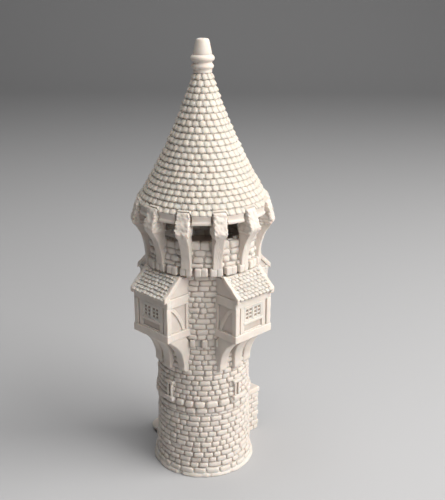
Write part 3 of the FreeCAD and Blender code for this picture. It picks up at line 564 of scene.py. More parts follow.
def plank_door(build, face, half, high, degrees, back, seed):
    """Five rounded planks with an arched head, two strap hinges, studs and a ring handle."""
    spring = high - 2.3
    n = 5
    edges = np.linspace(-half, half, n + 1)
    for i in range(n):
        y0, y1 = edges[i] + 0.05, edges[i + 1] - 0.05
        top = min(spring + 2.3 * math.sqrt(max(0, 1 - (y / half) ** 2)) for y in (y0, y1))

        def cut(w, high_at=spring):
            out = w.copy()
            lim = spring + 2.3 * np.sqrt(np.clip(1 - (w[:, 1] / half) ** 2, 0, 1))
            out[:, 2] = w[:, 2] * (lim / (spring + 2.3))
            return out
        put(build, block(build, (back, y0, 0.0), (face, y1, spring + 2.3), r=0.16, step=1.2, rough=0.02, grain=2,
                         grain_amp=0.06, seed=seed + i, shape=cut), degrees)
    for z in (2.3, spring - 0.6):
        put(build, block(build, (face - 0.15, -half + 0.1, z), (face + 0.18, half * 0.55, z + 0.55), r=0.12, step=0.8, rough=0.03, seed=seed), degrees)
        for y in (-half + 0.6, -half + 1.9, half * 0.3):
            put(build, block(build, (face + 0.05, y, z + 0.12), (face + 0.34, y + 0.32, z + 0.44), r=0.14, step=0.5, rough=0.0, seed=seed), degrees)
    t = np.linspace(0, 2 * PI, 28, endpoint=False)
    s = np.linspace(0, 2 * PI, 8, endpoint=False)
    ringp = np.stack([face + 0.28 + 0.10 * np.sin(s)[None] + 0 * t[:, None],
                      half * 0.55 + (0.42 + 0.10 * np.cos(s)[None]) * np.cos(t)[:, None],
                      spring * 0.52 + (0.42 + 0.10 * np.cos(s)[None]) * np.sin(t)[:, None]], -1)
    ringp = np.concatenate([ringp, ringp[:1]], 0)[:-1]
    idx = build.points(turn_z(ringp, degrees), 1.0) + np.arange(28 * 8).reshape(28, 8)
    w3 = np.concatenate([idx, idx[:1]], 0)
    w3 = np.concatenate([w3, w3[:, :1]], 1)
    build.quads(np.stack([w3[:-1, :-1], w3[:-1, 1:], w3[1:, 1:], w3[1:, :-1]], -1).reshape(-1, 4))


def voussoirs(build, face, depth, half, high, wide, degrees, seed):
    """Jamb stones and arch stones round a doorway, as rounded wedge blocks."""
    rng = np.random.default_rng(seed)
    spring = high - 2.3
    z = 0.0
    k = 0
    while z < spring - 0.2:
        hgt = min(rng.uniform(1.7, 2.2), spring - z)
        if spring - z - hgt < 0.7:
            hgt = spring - z
        for side in (-1, 1):
            ww = wide * (1.25 if (k + (side > 0)) % 2 else 0.85)
            lo = np.array([face - depth, side * half, z + 0.05])
            hi = np.array([face + rng.uniform(-0.1, 0.15), side * (half + ww), z + hgt - 0.05])
            put(build, block(build, lo, hi, r=0.32, step=0.9, rough=0.07, seed=seed + k * 2 + (side > 0)), degrees)
        z += hgt
        k += 1
    n = 7
    a = np.linspace(PI, 0, n + 1)
    for i in range(n):
        a0, a1 = a[i] - 0.03, a[i + 1] + 0.03
        am = 0.5 * (a0 + a1)

        def bendit(w, a0=a0, a1=a1):
            out = w.copy()
            t = a0 + (a1 - a0) * (w[:, 1] + 1) * 0.5
            rad = w[:, 2]
            out[:, 1] = (half + rad) * np.cos(t)
            out[:, 2] = spring + (2.3 + rad) * np.sin(t)
            return out
        part = block(build, (face - depth, -1, 0.0), (face + rng.uniform(-0.05, 0.2), 1, wide * 1.05), r=0.28, step=0.5,
                     rough=0.0, seed=seed + 50 + i, shape=bendit)
        put(build, part, degrees)


# ------------------------------------------------------------------ porch, at the back right
PORCH = 45.0
b = Build()
rng = np.random.default_rng(21)
core, front = 3.2, 25.45
# the porch core walls carry openness 0.3: painted shade in the joints between the quoins and stones laid over them
for side in (-1, 1):
    lo, hi = (-core, -2.05) if side < 0 else (2.05, core)
    extrude(b, [(14.5, 0.1), (front, 0.1), (front, 15.95), (14.5, 15.95)], lo, hi, PORCH, cav=0.3)
extrude(b, [(14.5, 0.1), (24.3, 0.1), (24.3, 15.9), (14.5, 15.9)], -2.1, 2.1, PORCH, cav=0.3)
extrude(b, [(23.9, 10.6), (front, 10.6), (front, 15.93), (23.9, 15.93)], -2.1, 2.1, PORCH, cav=0.3)
# alternating quoins at the two front corners, then the side walls between them and the tower
z, k = 0.0, 0
while z < 15.8:
    hgt = min(2.0, 15.95 - z)
    if 15.95 - z - hgt < 0.9:
        hgt = 15.95 - z
    for side in (-1, 1):
        long_ = (k + (side > 0)) % 2
        along, across = (3.3, 1.0) if long_ else (1.9, 1.25)
        proud = rng.uniform(0.42, 0.62) if long_ else rng.uniform(0.22, 0.40)
        lo = np.array([front - along, side * (core - across), z + 0.04])
        hi = np.array([front + proud, side * (core + proud), z + hgt - 0.04])
        put(b, block(b, lo, hi, r=0.34, step=0.7, rough=0.08, seed=60 + 2 * k + (side > 0)), PORCH)
        mp = plane_map((0, side * core, 0), (side * -1.0, 0, 0), (0, 0, 1), PORCH)
        x = front - along
        cu, hu = [], []
        while x > 15.2:
            x0 = max(x - rng.uniform(2.2, 4.0), 14.6)
            cu.append(-side * 0.5 * (x + x0))
            hu.append(0.5 * (x - x0) - 0.04)
            x = x0
        pillows(b, cu, np.full(len(cu), z + hgt * 0.5), hu, np.full(len(cu), hgt * 0.5 - 0.04), rng.uniform(0.35, 0.55, len(cu)), mp, rng, mids=(3, 1), r=0.42, rc=0.5)
    z += hgt
    k += 1
mp = plane_map((front, 0, 0), (0, 1, 0), (0, 0, 1), PORCH)
for k, z in enumerate((12.1, 14.0)):
    j = np.linspace(-2.1, 2.1, 3 if k % 2 else 2)
    pillows(b, 0.5 * (j[:-1] + j[1:]), np.full(len(j) - 1, z + 0.95), np.diff(j) * 0.5 - 0.06, np.full(len(j) - 1, 0.88),
            rng.uniform(0.3, 0.45, len(j) - 1), mp, rng, r=0.4, rc=0.45)
voussoirs(b, 25.75, 1.2, 2.05, 10.5, 0.95, PORCH, 300)
b.object("porch_stonework", "ground_storey", ["porch_walls"], STONE)

b = Build()
plank_door(b, 24.75, 2.05, 10.4, PORCH, 23.9, 400)
b.object("porch_plank_door", "ground_storey", ["porch_door"], TIMBER)


b = Build()
put(b, block(b, (14.6, -3.85, 15.9), (26.3, 3.85, 18.2), r=0.5, step=0.6, rough=0.07, seed=71), PORCH)
b.object("porch_cap_slab", "ground_storey", ["porch_cap"], SMOOTH)

# ------------------------------------------------------------------ postern and doorstep, at the back left
POST = 135.0
b = Build()
voussoirs(b, 18.75, 2.6, 2.08, 12.1, 1.4, POST, 500)
b.object("postern_stone_surround", "ground_storey", ["postern_surround"], STONE)
b = Build()
plank_door(b, 18.1, 2.1, 12.1, POST, 15.6, 520)
b.object("postern_plank_door", "ground_storey", ["postern_door"], TIMBER)
b = Build()


def worn(w):
    """A half-round step: wide at the wall, rounded in front, undercut below, hollowed by feet on top."""
    out = w.copy()
    x, y, z = w[:, 0], w[:, 1], w[:, 2]
    a = np.clip((x - 17.2) / 9.0, 0, 1)
    wide = np.sqrt(np.clip(1 - np.clip((x - 21.8) / 5.2, 0, 0.93) ** 2, 0.05, 1))
    under = 1.0 - 0.42 * np.clip((1.5 - z) / 1.5, 0, 1) ** 1.1
    out[:, 1] = y * wide * under
    out[:, 0] = 17.2 + (x - 17.2) * (0.6 + 0.4 * under) * (1 - 0.05 * (np.abs(y) / 5.2) ** 2)
    top = np.clip((z - 1.0) / 1.2, 0, 1)
    out[:, 2] = z - top * (0.10 * np.exp(-(y / 2.2) ** 2) + 0.15 * a ** 3)
    return out


put(b, block(b, (17.2, -5.3, 0.0), (26.7, 5.3, 2.55), r=0.42, step=0.5, rough=0.10, seed=81, shape=worn), POST)
b.object("postern_doorstep", "ground_storey", ["postern_step"], STONE)

# ------------------------------------------------------------------ oriel storey walls
def lower_radius(z):
    return 16.05 + (15.75 - 16.05) * np.clip((z - 30.0) / 4.5, 0, 1)


ROWS_LOWER = [(24.56, 26.72, 0.62, 2.6, 4.2)] + [
    (29.5, 31.3, 0.52, 2.3, 3.7), (31.3, 33.2, 0.50, 2.2, 3.6), (33.2, 35.15, 0.50, 2.6, 4.1), (35.15, 37.1, 0.50, 2.4, 4.2),
    (37.1, 39.05, 0.50, 2.2, 3.6), (39.05, 41.0, 0.52, 2.6, 4.4), (41.0, 42.95, 0.50, 2.4, 3.8), (42.95, 44.9, 0.5, 2.2, 3.6),
    (44.9, 46.85, 0.48, 2.2, 3.4), (46.85, 48.75, 0.46, 2.4, 3.8), (48.75, 50.0, 0.34, 2.2, 3.4)]
b = Build()
wall_courses(b, ROWS_LOWER, lower_radius, 43)
b.object("lower_wall_stones", "oriel_storey", [], STONE)
carried("lower_wall", JOINT_PAINTED_SHADE, 0)
carried("oriel_floor", PLAIN, 0)

b = Build()
rng = np.random.default_rng(44)
j, w = course_joints(rng, 2 * PI * REF, 3.2, 5.0, None)
pillows(b, j - w * 0.5, np.full(len(w), 28.12) + rng.uniform(-0.08, 0.08, len(w)), w * 0.5 - 0.10, np.full(len(w), 1.25),
        rng.normal(1.12, 0.07, len(w)), ring_map(lambda z: 16.05 + 0 * z), rng, r=0.62, rc=0.95, mids=(3, 1), rough=0.09)
b.object("string_course_stones", "oriel_storey", ["string_course"], STONE)

recess_radius = lambda z: 15.75 + 0 * z
upper_radius = lambda z: 16.45 + 0 * z
rows = [(52.8 + i * 1.94, 52.8 + (i + 1) * 1.94, 0.52, 2.0, 4.6) for i in range(12)]
b = Build()
wall_courses(b, rows, upper_radius, 47)
rng = np.random.default_rng(48)
j, w = course_joints(rng, 2 * PI * REF, 2.4, 3.6, None)
pillows(b, j - w * 0.5, np.full(len(w), 51.3), w * 0.5 - 0.1, np.full(len(w), 1.3), rng.uniform(0.12, 0.22, len(w)), ring_map(recess_radius), rng, r=0.4)
b.object("upper_wall_stones", "oriel_storey", [], STONE)
carried("upper_wall", JOINT_PAINTED_SHADE, 0)

b = Build()
rng = np.random.default_rng(49)
for i in range(24):
    az = 3.0 + 15.0 * i + rng.uniform(-0.7, 0.7)
    half = rng.uniform(0.78, 0.92)
    put(b, block(b, (15.3, -half, 50.15 + rng.uniform(-0.1, 0.15)), (17.35 + rng.uniform(-0.15, 0.1), half, 52.85), r=0.42, step=0.6, rough=0.09, seed=900 + i), az - 90.0)
b.object("dentil_course_stones", "oriel_storey", ["dentil_course"], STONE)

# arrow slits: lintel, sill and two thin jambs round a slot block at openness 0, painted dark as shade in the slit
for number, turn, low in ((1, -133.0, 28.0), (2, -45.0, 28.3), (3, 47.0, 28.3), (4, 135.0, 28.0)):
    b = Build()
    hgt = 7.4
    put(b, block(b, (15.6, -2.05, low), (17.75, 2.05, low + 1.6), r=0.38, step=0.7, rough=0.08, seed=610 + number), turn)
    put(b, block(b, (15.6, -1.8, low + hgt - 1.2), (17.35, 1.8, low + hgt), r=0.36, step=0.7, rough=0.08, seed=620 + number), turn)
    for side in (-1, 1):
        lo = (15.6, side * 0.44, low + 1.5)
        hi = (17.2, side * 1.2, low + hgt - 1.1)
        put(b, block(b, lo, hi, r=0.22, step=0.8, rough=0.05, seed=630 + number), turn)
    # the slot block has openness 0: painted shade for the depth of the slit
    put(b, block(b, (15.0, -0.5, low + 1.4), (16.72, 0.5, low + hgt - 1.0), r=0.1, step=1.5, rough=0.0, cav=0.0), turn)
    b.object("slit_stones_%d" % number, "oriel_storey", ["slit_surround_%d" % number], STONE)

# ------------------------------------------------------------------ oriels
EAVE_OUT, EAVE_LOW, PITCH = 25.7, 68.9, 0.93


def under_roof(x):
    return EAVE_LOW + (EAVE_OUT - x) * PITCH


def oriel(side, turn, seed):
    put_ = lambda bb, part: put(bb, part, turn)
    # --- timber frame
    f = Build()
    T = dict(step=1.4, rough=0.06, grain_amp=0.035)
    put_(f, block(f, (21.6, -8.7, 54.2), (24.4, 8.7, 56.95), r=0.28, grain=1, seed=seed + 1, **T))
    for s in (-1, 1):
        put_(f, block(f, (13.0, s * 6.9, 54.25), (22.4, s * 8.6, 56.9), r=0.26, grain=0, seed=seed + 2 + s, **T))
    put_(f, block(f, (13.0, -7.4, 54.5), (22.4, 7.4, 56.6), r=0.1, step=4.0, rough=0.02, seed=seed))
    put_(f, block(f, (22.6, -8.5, 66.3), (24.12, 8.5, 68.3), r=0.22, grain=1, seed=seed + 5, **T))
    put_(f, block(f, (22.6, -8.55, 68.2), (24.45, 8.55, 69.75), r=0.22, grain=1, seed=seed + 6, **T))
    for s in (-1, 1):
        put_(f, block(f, (13.0, s * 7.3, 66.1), (23.0, s * 8.42, 69.4), r=0.22, grain=0, seed=seed + 7 + s, **T))
        put_(f, block(f, (22.35, s * 6.5, 56.8), (24.22, s * 8.42, 66.5), r=0.26, grain=2, seed=seed + 9 + s, **T))
        put_(f, block(f, (13.2, s * 7.3, 56.8), (15.75, s * 8.3, 66.3), r=0.2, grain=2, seed=seed + 12 + s, **T))
        # curved brace
        arc = spline([(22.5, 65.9), (20.6, 64.5), (18.9, 62.2), (17.6, 59.8), (16.5, 56.9)], 18)
        tan = np.gradient(arc, axis=0)
        tan /= np.linalg.norm(tan, axis=1)[:, None]
        nor = np.stack([tan[:, 1], -tan[:, 0]], -1)
        sec = [(-0.62, 7.45), (-0.62, 8.02), (-0.48, 8.16), (0.0, 8.2), (0.48, 8.16), (0.62, 8.02), (0.62, 7.45)]
        ring = []
        for off, yy in sec:
            q = arc + nor * off
            ring.append(np.stack([q[:, 0], np.full(len(q), s * yy), q[:, 1]], -1))
        grid = np.stack(ring, 1)
        grid = grid + noise3(grid, 1.2, seed)[..., None] * 0.04
        f.grid(turn_z(grid, turn), 1.0, wrap=True, flip=(s > 0), caps=True)
        # verge board
        x0, x1 = 25.35, 18.35

        def lean(w):
            out = w.copy()
            out[:, 2] = w[:, 2] + under_roof(w[:, 0])
            near = np.hypot(w[:, 0], w[:, 1]) < 20.15
            out[:, 2] = np.where(near, np.minimum(out[:, 2], 76.05), out[:, 2])
            return out

        def capped(w):
            out = w.copy()
            out[:, 2] = np.minimum(w[:, 2] + under_roof(w[:, 0]), 75.9)
            return out
        put_(f, block(f, (x1, s * 7.1, -1.0), (x0, s * 8.75, 1.02), r=0.32, step=0.55, rough=0.12, seed=seed + 15 + s, shape=lean))
        put_(f, block(f, (16.2, s * 7.3, -1.1), (x1 + 0.6, s * 8.35, 0.1), r=0.2, step=0.8, rough=0.08, seed=seed + 25 + s, shape=capped))
    f.object("oriel_%s_timbers" % side, "oriel_storey", ["oriel_%s_frame" % side], TIMBER)

    # --- casement with leaded lights over a sunk panel
    g = Build()
    G = dict(step=1.0, rough=0.03)
    for s in (-1, 1):
        put_(g, block(g, (23.2, s * 4.25, 56.9), (24.0, s * 5.92, 66.4), r=0.14, grain=2, grain_amp=0.03, seed=seed + 30 + s, **G))
    put_(g, block(g, (23.2, -4.5, 65.5), (24.08, 4.5, 66.35), r=0.16, seed=seed + 33, **G))
    put_(g, block(g, (23.2, -4.6, 59.75), (24.2, 4.6, 60.75), r=0.2, seed=seed + 34, **G))
    put_(g, block(g, (23.2, -4.5, 56.8), (23.95, 4.5, 57.4), r=0.14, seed=seed + 35, **G))
    # painted shade: the sunk panel (openness 0.5), the back behind the leaded lights (0.12) and the gap strips beside
    # the posts (0) are darkened for the depth they stand for
    put_(g, block(g, (23.0, -4.4, 57.2), (23.54, 4.4, 60.0), r=0.03, step=2.0, rough=0.0, cav=0.5))
    put_(g, block(g, (22.9, -4.3, 60.5), (23.54, 4.3, 65.8), r=0.03, step=2.0, rough=0.0, cav=0.12))
    for s in (-1, 1):
        put_(g, block(g, (22.6, s * 5.95, 56.9), (23.1, s * 6.6, 66.4), r=0.03, step=2.0, rough=0.0, cav=0.0))
    for y in (-4.05, 0.0, 4.05):
        put_(g, block(g, (23.2, y - 0.38, 60.5), (23.98, y + 0.38, 65.8), r=0.14, seed=seed + 36, **G))
    for z in (60.95, 65.35):
        put_(g, block(g, (23.2, -4.2, z - 0.32), (23.96, 4.2, z + 0.32), r=0.12, seed=seed + 37, **G))
    for y0 in (-3.67, 0.38):
        for k in (0, 1, 2):
            yy = y0 + 3.29 * k / 2.0
            put_(g, block(g, (23.2, yy - 0.27, 60.9), (23.84, yy + 0.27, 65.4), r=0.1, step=1.0, rough=0.02, seed=seed + 38))
        for k in range(4):
            zz = 61.25 + 3.85 * k / 3.0
            put_(g, block(g, (23.2, y0, zz - 0.24), (23.82, y0 + 3.29, zz + 0.24), r=0.1, step=1.0, rough=0.02, seed=seed + 39))
    g.object("oriel_%s_casement" % side, "oriel_storey", ["oriel_%s_window" % side], TIMBER)

    # --- tiled lean-to roof
    t = Build()
    rng = np.random.default_rng(seed)
    reach = EAVE_OUT - 18.9
    run = math.hypot(reach, reach * PITCH)
    dx, dz = -reach / run, reach * PITCH / run
    at = lambda v, lift: (EAVE_OUT + dx * v + dz * lift, under_roof(EAVE_OUT) + 0.70 + dz * v - dx * lift)
    nrow = 7
    pitch = run / nrow
    outline = [at(0.25, -0.42)]
    for i in range(nrow):
        outline += [at(i * pitch + 0.25, 0.16), at((i + 1) * pitch + 0.22, -0.28)]
    outline += [at(run, -0.42), (17.4, 75.95), (14.5, 75.95), (14.5, 75.3), (18.6, 75.2)]
    # painted shade: the roof body under the tiles carries openness 0.5, and the tiles darken towards 0.2 at their rims
    extrude(t, outline[::-1], -7.3, 7.3, turn, cav=0.5)
    mp = plane_map((EAVE_OUT, 0, under_roof(EAVE_OUT) + 0.70), (0, 1, 0), (dx, 0, dz), turn, sink=0.0)
    for i in range(nrow):
        wide = 7.86 if i % 2 == 0 else 7.45
        n = 9 if i % 2 == 0 else 8
        e = np.linspace(-wide, wide, n + 1) + rng.uniform(-0.13, 0.13, n + 1)
        if i % 2:
            e = np.concatenate([[-wide], 0.5 * (np.linspace(-wide, wide, 10)[:-1] + np.linspace(-wide, wide, 10)[1:]), [wide]])
            e[1:-1] += rng.uniform(-0.13, 0.13, len(e) - 2)
            n = len(e) - 1
        cu = 0.5 * (e[:-1] + e[1:])
        hu = 0.5 * np.diff(e) - 0.03
        lowv = i * pitch + rng.uniform(-0.16, 0.10, n)
        hv = np.full(n, 0.5 * (pitch + (0.35 if i < nrow - 1 else 0.0)))
        cv = lowv + hv
        thick = rng.normal(0.84, 0.07, n)

        def mapper(u, v, height, lowv=lowv):
            q = np.clip((v - lowv[:, None, None]) / pitch, 0, 1.2)
            p = mp(u, v, height - 0.38 - 0.50 * q)
            p[..., 2] = np.where(np.hypot(p[..., 0], p[..., 1]) < 20.15, np.minimum(p[..., 2], 76.05), p[..., 2])
            return p
        pillows(t, cu, cv, hu, hv, thick, mapper, rng, r=0.28, rc=0.52, mids=(2, 1), tilt=0.08, rough=0.08, skew=0.10, crown=0.05, rside=0.24, floor=0.2)
    # the slope dies level under the corbel course; this block carries openness 0.7, a little painted shade
    put_(t, block(t, (15.2, -7.6, 75.2), (19.15, 7.6, 76.0), r=0.25, step=0.8, rough=0.08, seed=seed + 90, cav=0.7))
    t.object("oriel_%s_tiles" % side, "oriel_storey", ["oriel_%s_roof" % side], TILE)

    # --- three coved brackets: plates with a hollow front edge, free of the wall just under the beam
    c = Build()
    cove = spline([(15.9, 40.3), (16.8, 40.45), (17.4, 41.1), (17.5, 42.1), (17.4, 43.3), (17.6, 45.2), (18.05, 47.2), (18.8, 49.0), (19.9, 50.7), (21.2, 52.2),
                   (22.5, 53.4), (23.35, 54.3), (23.5, 55.4)], 36)
    cove_mid = cove.copy()
    cove_mid[:, 0] += 0.15
    for k, yc in enumerate((-5.72, 0.0, 5.72)):
        outer = abs(yc) > 1
        front_line = cove.copy()
        if outer:
            m = np.clip((53.0 - front_line[:, 1]) / 13.0, 0, 1)
            front_line[:, 0] -= 1.55 * m ** 0.7 * np.clip((54.4 - front_line[:, 1]) / 3.0, 0, 1)
        back = np.array([(16.6, 55.4), (16.3, 54.4), (15.9, 54.0), (15.2, 53.3), (14.6, 52.4), (14.0, 51.4), (13.0, 50.0), (12.6, 46.0), (12.6, 41.0), (13.5, 40.35)])
        loop = np.vstack([front_line, back])
        # no rounding at the back
        tan = np.roll(loop, -1, 0) - np.roll(loop, 1, 0)
        tan /= np.linalg.norm(tan, axis=1)[:, None] + 1e-9
        nor = np.stack([tan[:, 1], -tan[:, 0]], -1)
        soft = np.concatenate([np.ones(len(front_line)), np.full(len(back), 0.25)])[:, None]
        ring = []
        half = 2.44
        for a_, inset in ((-1.0, 0.55), (-0.985, 0.28), (-0.93, 0.10), (-0.82, 0.02), (-0.4, -0.02), (0.0, -0.04), (0.4, -0.02), (0.82, 0.02), (0.93, 0.10), (0.985, 0.28), (1.0, 0.55)):
            q = loop - nor * inset * soft
            y = yc + a_ * half
            pts = np.stack([q[:, 0], np.full(len(q), y), q[:, 1]], -1)
            # the foot narrows to a rounded nub
            foot = np.clip((41.4 - pts[:, 2]) / 2.0, 0, 1)
            taper = 1 - 0.27 * np.clip((54.0 - pts[:, 2]) / 10.0, 0, 1) ** 1.2
            pts[:, 1] = yc + (pts[:, 1] - yc) * (1 - 0.35 * foot ** 2) * taper
            ring.append(pts)
        grid = np.stack(ring, 0)
        grid[..., 0] += noise3(grid, 0.8, seed + k) * 0.07
        grid[..., 2] += noise3(grid, 0.8, seed + k + 9) * 0.05
        c.grid(turn_z(grid, turn), 1.0, wrap=True, flip=True, caps=True)
    # web behind the joints between the brackets, at openness 0.25: painted shade in the gaps between them
    extrude(c, [(12.6, 41.0), (15.1, 42.5), (15.6, 47.0), (17.4, 51.0), (20.6, 54.3), (12.6, 54.3)], -5.2, 5.2, turn, cav=0.25)
    c.object("oriel_%s_coved_brackets" % side, "oriel_storey", ["oriel_%s_brackets" % side], SMOOTH)
    carried("oriel_%s_walls" % side, PLAIN, 0)


for number, (side, turn) in enumerate((("south_west", -135.0), ("south_east", -45.0), ("north_east", 45.0), ("north_west", 135.0))):
    oriel(side, turn, 1000 + 100 * number)

# ------------------------------------------------------------------ gallery
# the gallery floor takes the darker painted-shade colour
carried("gallery_floor", ROOM_PAINTED_SHADE, 0)
carried("wall_plate", PLAIN, 0)
b = Build()
rng = np.random.default_rng(61)
for i in range(24):
    az = 15.0 * i - 0.6
    lowz = 76.2 + rng.uniform(-0.02, 0.10)
    for s in (-1, 1):
        w = rng.uniform(1.06, 1.16)
        yc = s * 0.98 + rng.uniform(-0.04, 0.04)
        drop = rng.uniform(0.0, 0.30)
        put(b, block(b, (17.0, yc - w, lowz + drop), (19.9 + rng.uniform(-0.15, 0.1), yc + w, 79.3), r=0.5, step=0.5, rough=0.10, seed=1500 + 2 * i + s), az - 90.0)
b.object("gallery_corbel_stones", "gallery", ["gallery_corbels"], STONE)

b = Build()
parapet = lambda z: 18.4 + 0 * z
# the core ring carries openness 0.5: painted shade in the joints between the parapet stones
lathe(b, [(15.95, 79.1), (18.4, 79.1), (18.4, 86.3), (18.0, 86.7), (16.4, 86.7), (15.95, 86.3)], count=144, cav=0.5, closed=True)
REF_KEEP = REF
REF = 18.8
rng = np.random.default_rng(62)
length = 2 * PI * REF
previous = None
for low, high, thick, wmin, wmax in ((79.1, 80.75, 0.5, 3.0, 5.2), (80.75, 83.08, 0.58, 2.2, 4.2), (83.08, 85.25, 0.5, 2.6, 4.9)):
    j, w = course_joints(rng, length, wmin, wmax, previous)
    previous = j
    s = len(w)
    pillows(b, j - w * 0.5, np.full(s, 0.5 * (low + high)) + rng.uniform(-0.08, 0.08, s), w * 0.5 - 0.05 * rng.uniform(0.6, 1.6, s),
            np.full(s, 0.5 * (high - low) - 0.03) * rng.uniform(0.93, 1.03, s), np.clip(rng.normal(thick, 0.09, s), 0.25, 0.75) + 0.1, ring_map(parapet), rng,
            mids=(3, 2), r=0.75, rc=1.0, tilt=0.10, rough=0.10, skew=0.12, crown=0.14)
# top course: an outer and an inner row of rounded stones with uneven tops
for row, (r_in, r_out, wmin, wmax) in enumerate(((17.0, 18.98, 2.4, 4.6), (15.7, 17.15, 1.9, 3.6))):
    at = (r_in + r_out) * 0.5
    j, w = course_joints(rng, 2 * PI * at, wmin, wmax, None)
    for i, (a, ww) in enumerate(zip(j - w * 0.5, w)):
        top = 88.1 + rng.uniform(-0.5, 0.3) + 0.12 * row
        put(b, block(b, (r_in + rng.uniform(-0.08, 0.08), -ww * 0.5 + 0.01, 85.15), (r_out + rng.uniform(-0.12, 0.12), ww * 0.5 - 0.01, top), r=1.15, step=0.5,
                     rough=0.15, seed=1700 + 60 * row + i, cav=0.95), math.degrees(a / at))
# inner face of the parapet
inner = lambda u, v, h: np.stack([(15.95 - h) * np.cos(-u / 16.0), (15.95 - h) * np.sin(-u / 16.0), v], -1)
previous = None
inside_stones = Build()
for low, high in ((79.15, 81.3), (81.3, 83.3), (83.3, 85.3)):
    j, w = course_joints(rng, 2 * PI * 16.0, 2.8, 4.8, previous)
    previous = j
    s = len(w)
    pillows(inside_stones, j - w * 0.5, np.full(s, 0.5 * (low + high)), w * 0.5 - 0.05, np.full(s, 0.5 * (high - low) - 0.04), rng.uniform(0.2, 0.35, s), inner, rng, mids=(2, 1), r=0.5, rc=0.6)
REF = REF_KEEP
b.object("gallery_parapet_stones", "gallery", ["gallery_wall"], STONE)
inside_stones.object("gallery_inner_stones", "gallery", [], STONE)

# twelve rough struts, each a lofted balk with a hewn head
OUT = spline([(19.95, 79.05), (20.05, 80.8), (20.2, 82.3), (20.5, 83.7), (20.95, 85.2), (21.4, 86.6), (22.1, 88.1), (23.1, 89.6), (24.05, 91.0),
              (24.55, 92.1), (24.25, 93.2), (23.9, 94.4), (23.5, 95.6), (23.15, 96.8), (22.75, 97.9), (22.35, 98.55), (21.9, 98.72)], 96)


def strut(number):
    turn = 15.0 + 30.0 * number - 90.0
    rng = np.random.default_rng(2000 + number)
    z, xo = OUT[:, 1], OUT[:, 0]
    head = np.clip((z - 90.0) / 1.0, 0, 1)
    head = head * head * (3 - 2 * head)
    half = 1.62 + (2.2 - 1.62) * head + 0.06 * np.sin(z * 0.9 + number)
    xi = np.where(z < 88.0, 18.2, 18.5)
    n = 20
    front = np.linspace(-1, 1, n)
    side = np.linspace(0, 1, 16)[1:-1]
    ys = np.concatenate([front, np.full(len(side), 1.0), front[::-1], np.full(len(side), -1.0)])
    xs = np.concatenate([np.ones(n), 1 - side, np.zeros(n), side])
    P = np.zeros((len(z), len(ys), 3))
    r = 0.30 + 0.12 * head
    for i in range(len(z)):
        y = ys * half[i]
        depth = xo[i] - xi[i]
        x = xi[i] + xs * depth
        ey = half[i] - np.abs(y)
        ex = xo[i] - x
        uu, vv = r[i] - ey, r[i] - ex
        c = (uu > 0) & (vv > 0)
        ln = np.hypot(uu, vv) + 1e-9
        sc = np.where(c, np.maximum(uu, vv) / ln, 1.0)
        y = np.where(c, np.sign(y) * (half[i] - r[i] + uu * sc), y)
        x = np.where(c, xo[i] - r[i] + vv * sc, x)
        P[i, :, 0], P[i, :, 1], P[i, :, 2] = x, y, z[i]
    world = turn_z(P, turn)
    outw = np.stack([np.where(xs > 0.97, 1.0, 0.0), np.where(np.abs(ys) > 0.97, np.sign(ys), 0.0), 0 * xs], -1)
    grain = np.array([4.2, 4.2, 0.28])
    g = noise3(world * grain, 1.0, 30) * 0.6 + noise3(world * grain * 2.1, 1.0, 31) * 0.4
    lump = noise3(world, 0.45, 33) * 0.10
    near = np.clip((np.abs(ys) - 0.55) / 0.4, 0, 1)[None, :]
    hew = head[:, None] * (noise3(world, 0.95, 34 + number) * 0.20 + noise3(world, 2.1, 35 + number) * 0.15 * (0.6 + near)
                           + np.abs(noise3(world, 1.4, 37 + number)) * -0.24 * near)
    amt = g * 0.075 * (1 - 0.6 * head[:, None]) + lump + hew
    P = P + outw[None] * amt[..., None]
    # rounded top; the foot is closed with a flat cap
    d = P[-1].copy()
    build = Build()
    rows = [P]
    top = []
    for k, (lift, shrink) in enumerate(((0.10, 0.93), (0.16, 0.78), (0.18, 0.5))):
        q = d.copy()
        cx, cy = d[:, 0].mean(), d[:, 1].mean()
        q[:, 0] = cx + (d[:, 0] - cx) * shrink
        q[:, 1] = cy + (d[:, 1] - cy) * shrink
        q[:, 2] = 98.72 + lift + 0.05 * noise3(q, 1.5, 36)
        top.append(q)
    P = np.concatenate([P] + [q[None] for q in top], 0)
    build.grid(turn_z(P, turn), 1.0, wrap=True, flip=True, caps=True)
    build.object("strut_balk_%02d" % (number + 1), "gallery", ["strut_%02d" % (number + 1)], TIMBER, sharp=50)


for number in range(12):
    strut(number)

# ------------------------------------------------------------------ roof
Z0, Z1 = 97.5, 139.35


def roof_r(z):
    t = np.clip((z - Z0) / (138.5 - Z0), -0.05, 1.02)
    return 22.25 * (1 - t) + 3.3 * t - 1.5 * 4 * t * (1 - t)


def notch_top(ang, rad):
    """Height of the rounded notch over the nearest strut head at this angle, or the eaves away from it."""
    d = np.abs((np.degrees(ang) - 15.0 + 15.0) % 30.0 - 15.0)
    k = np.clip((2.62 - np.radians(d) * rad) / 0.85, 0, 1)
    return np.where(k > 0, 97.0 + (98.98 - 97.0) * np.sqrt(1 - (1 - k) ** 2), 0.0)


SLOPE = (22.25 - 3.3) / (138.5 - Z0)
NR, NZ = 1 / math.hypot(1, SLOPE), SLOPE / math.hypot(1, SLOPE)


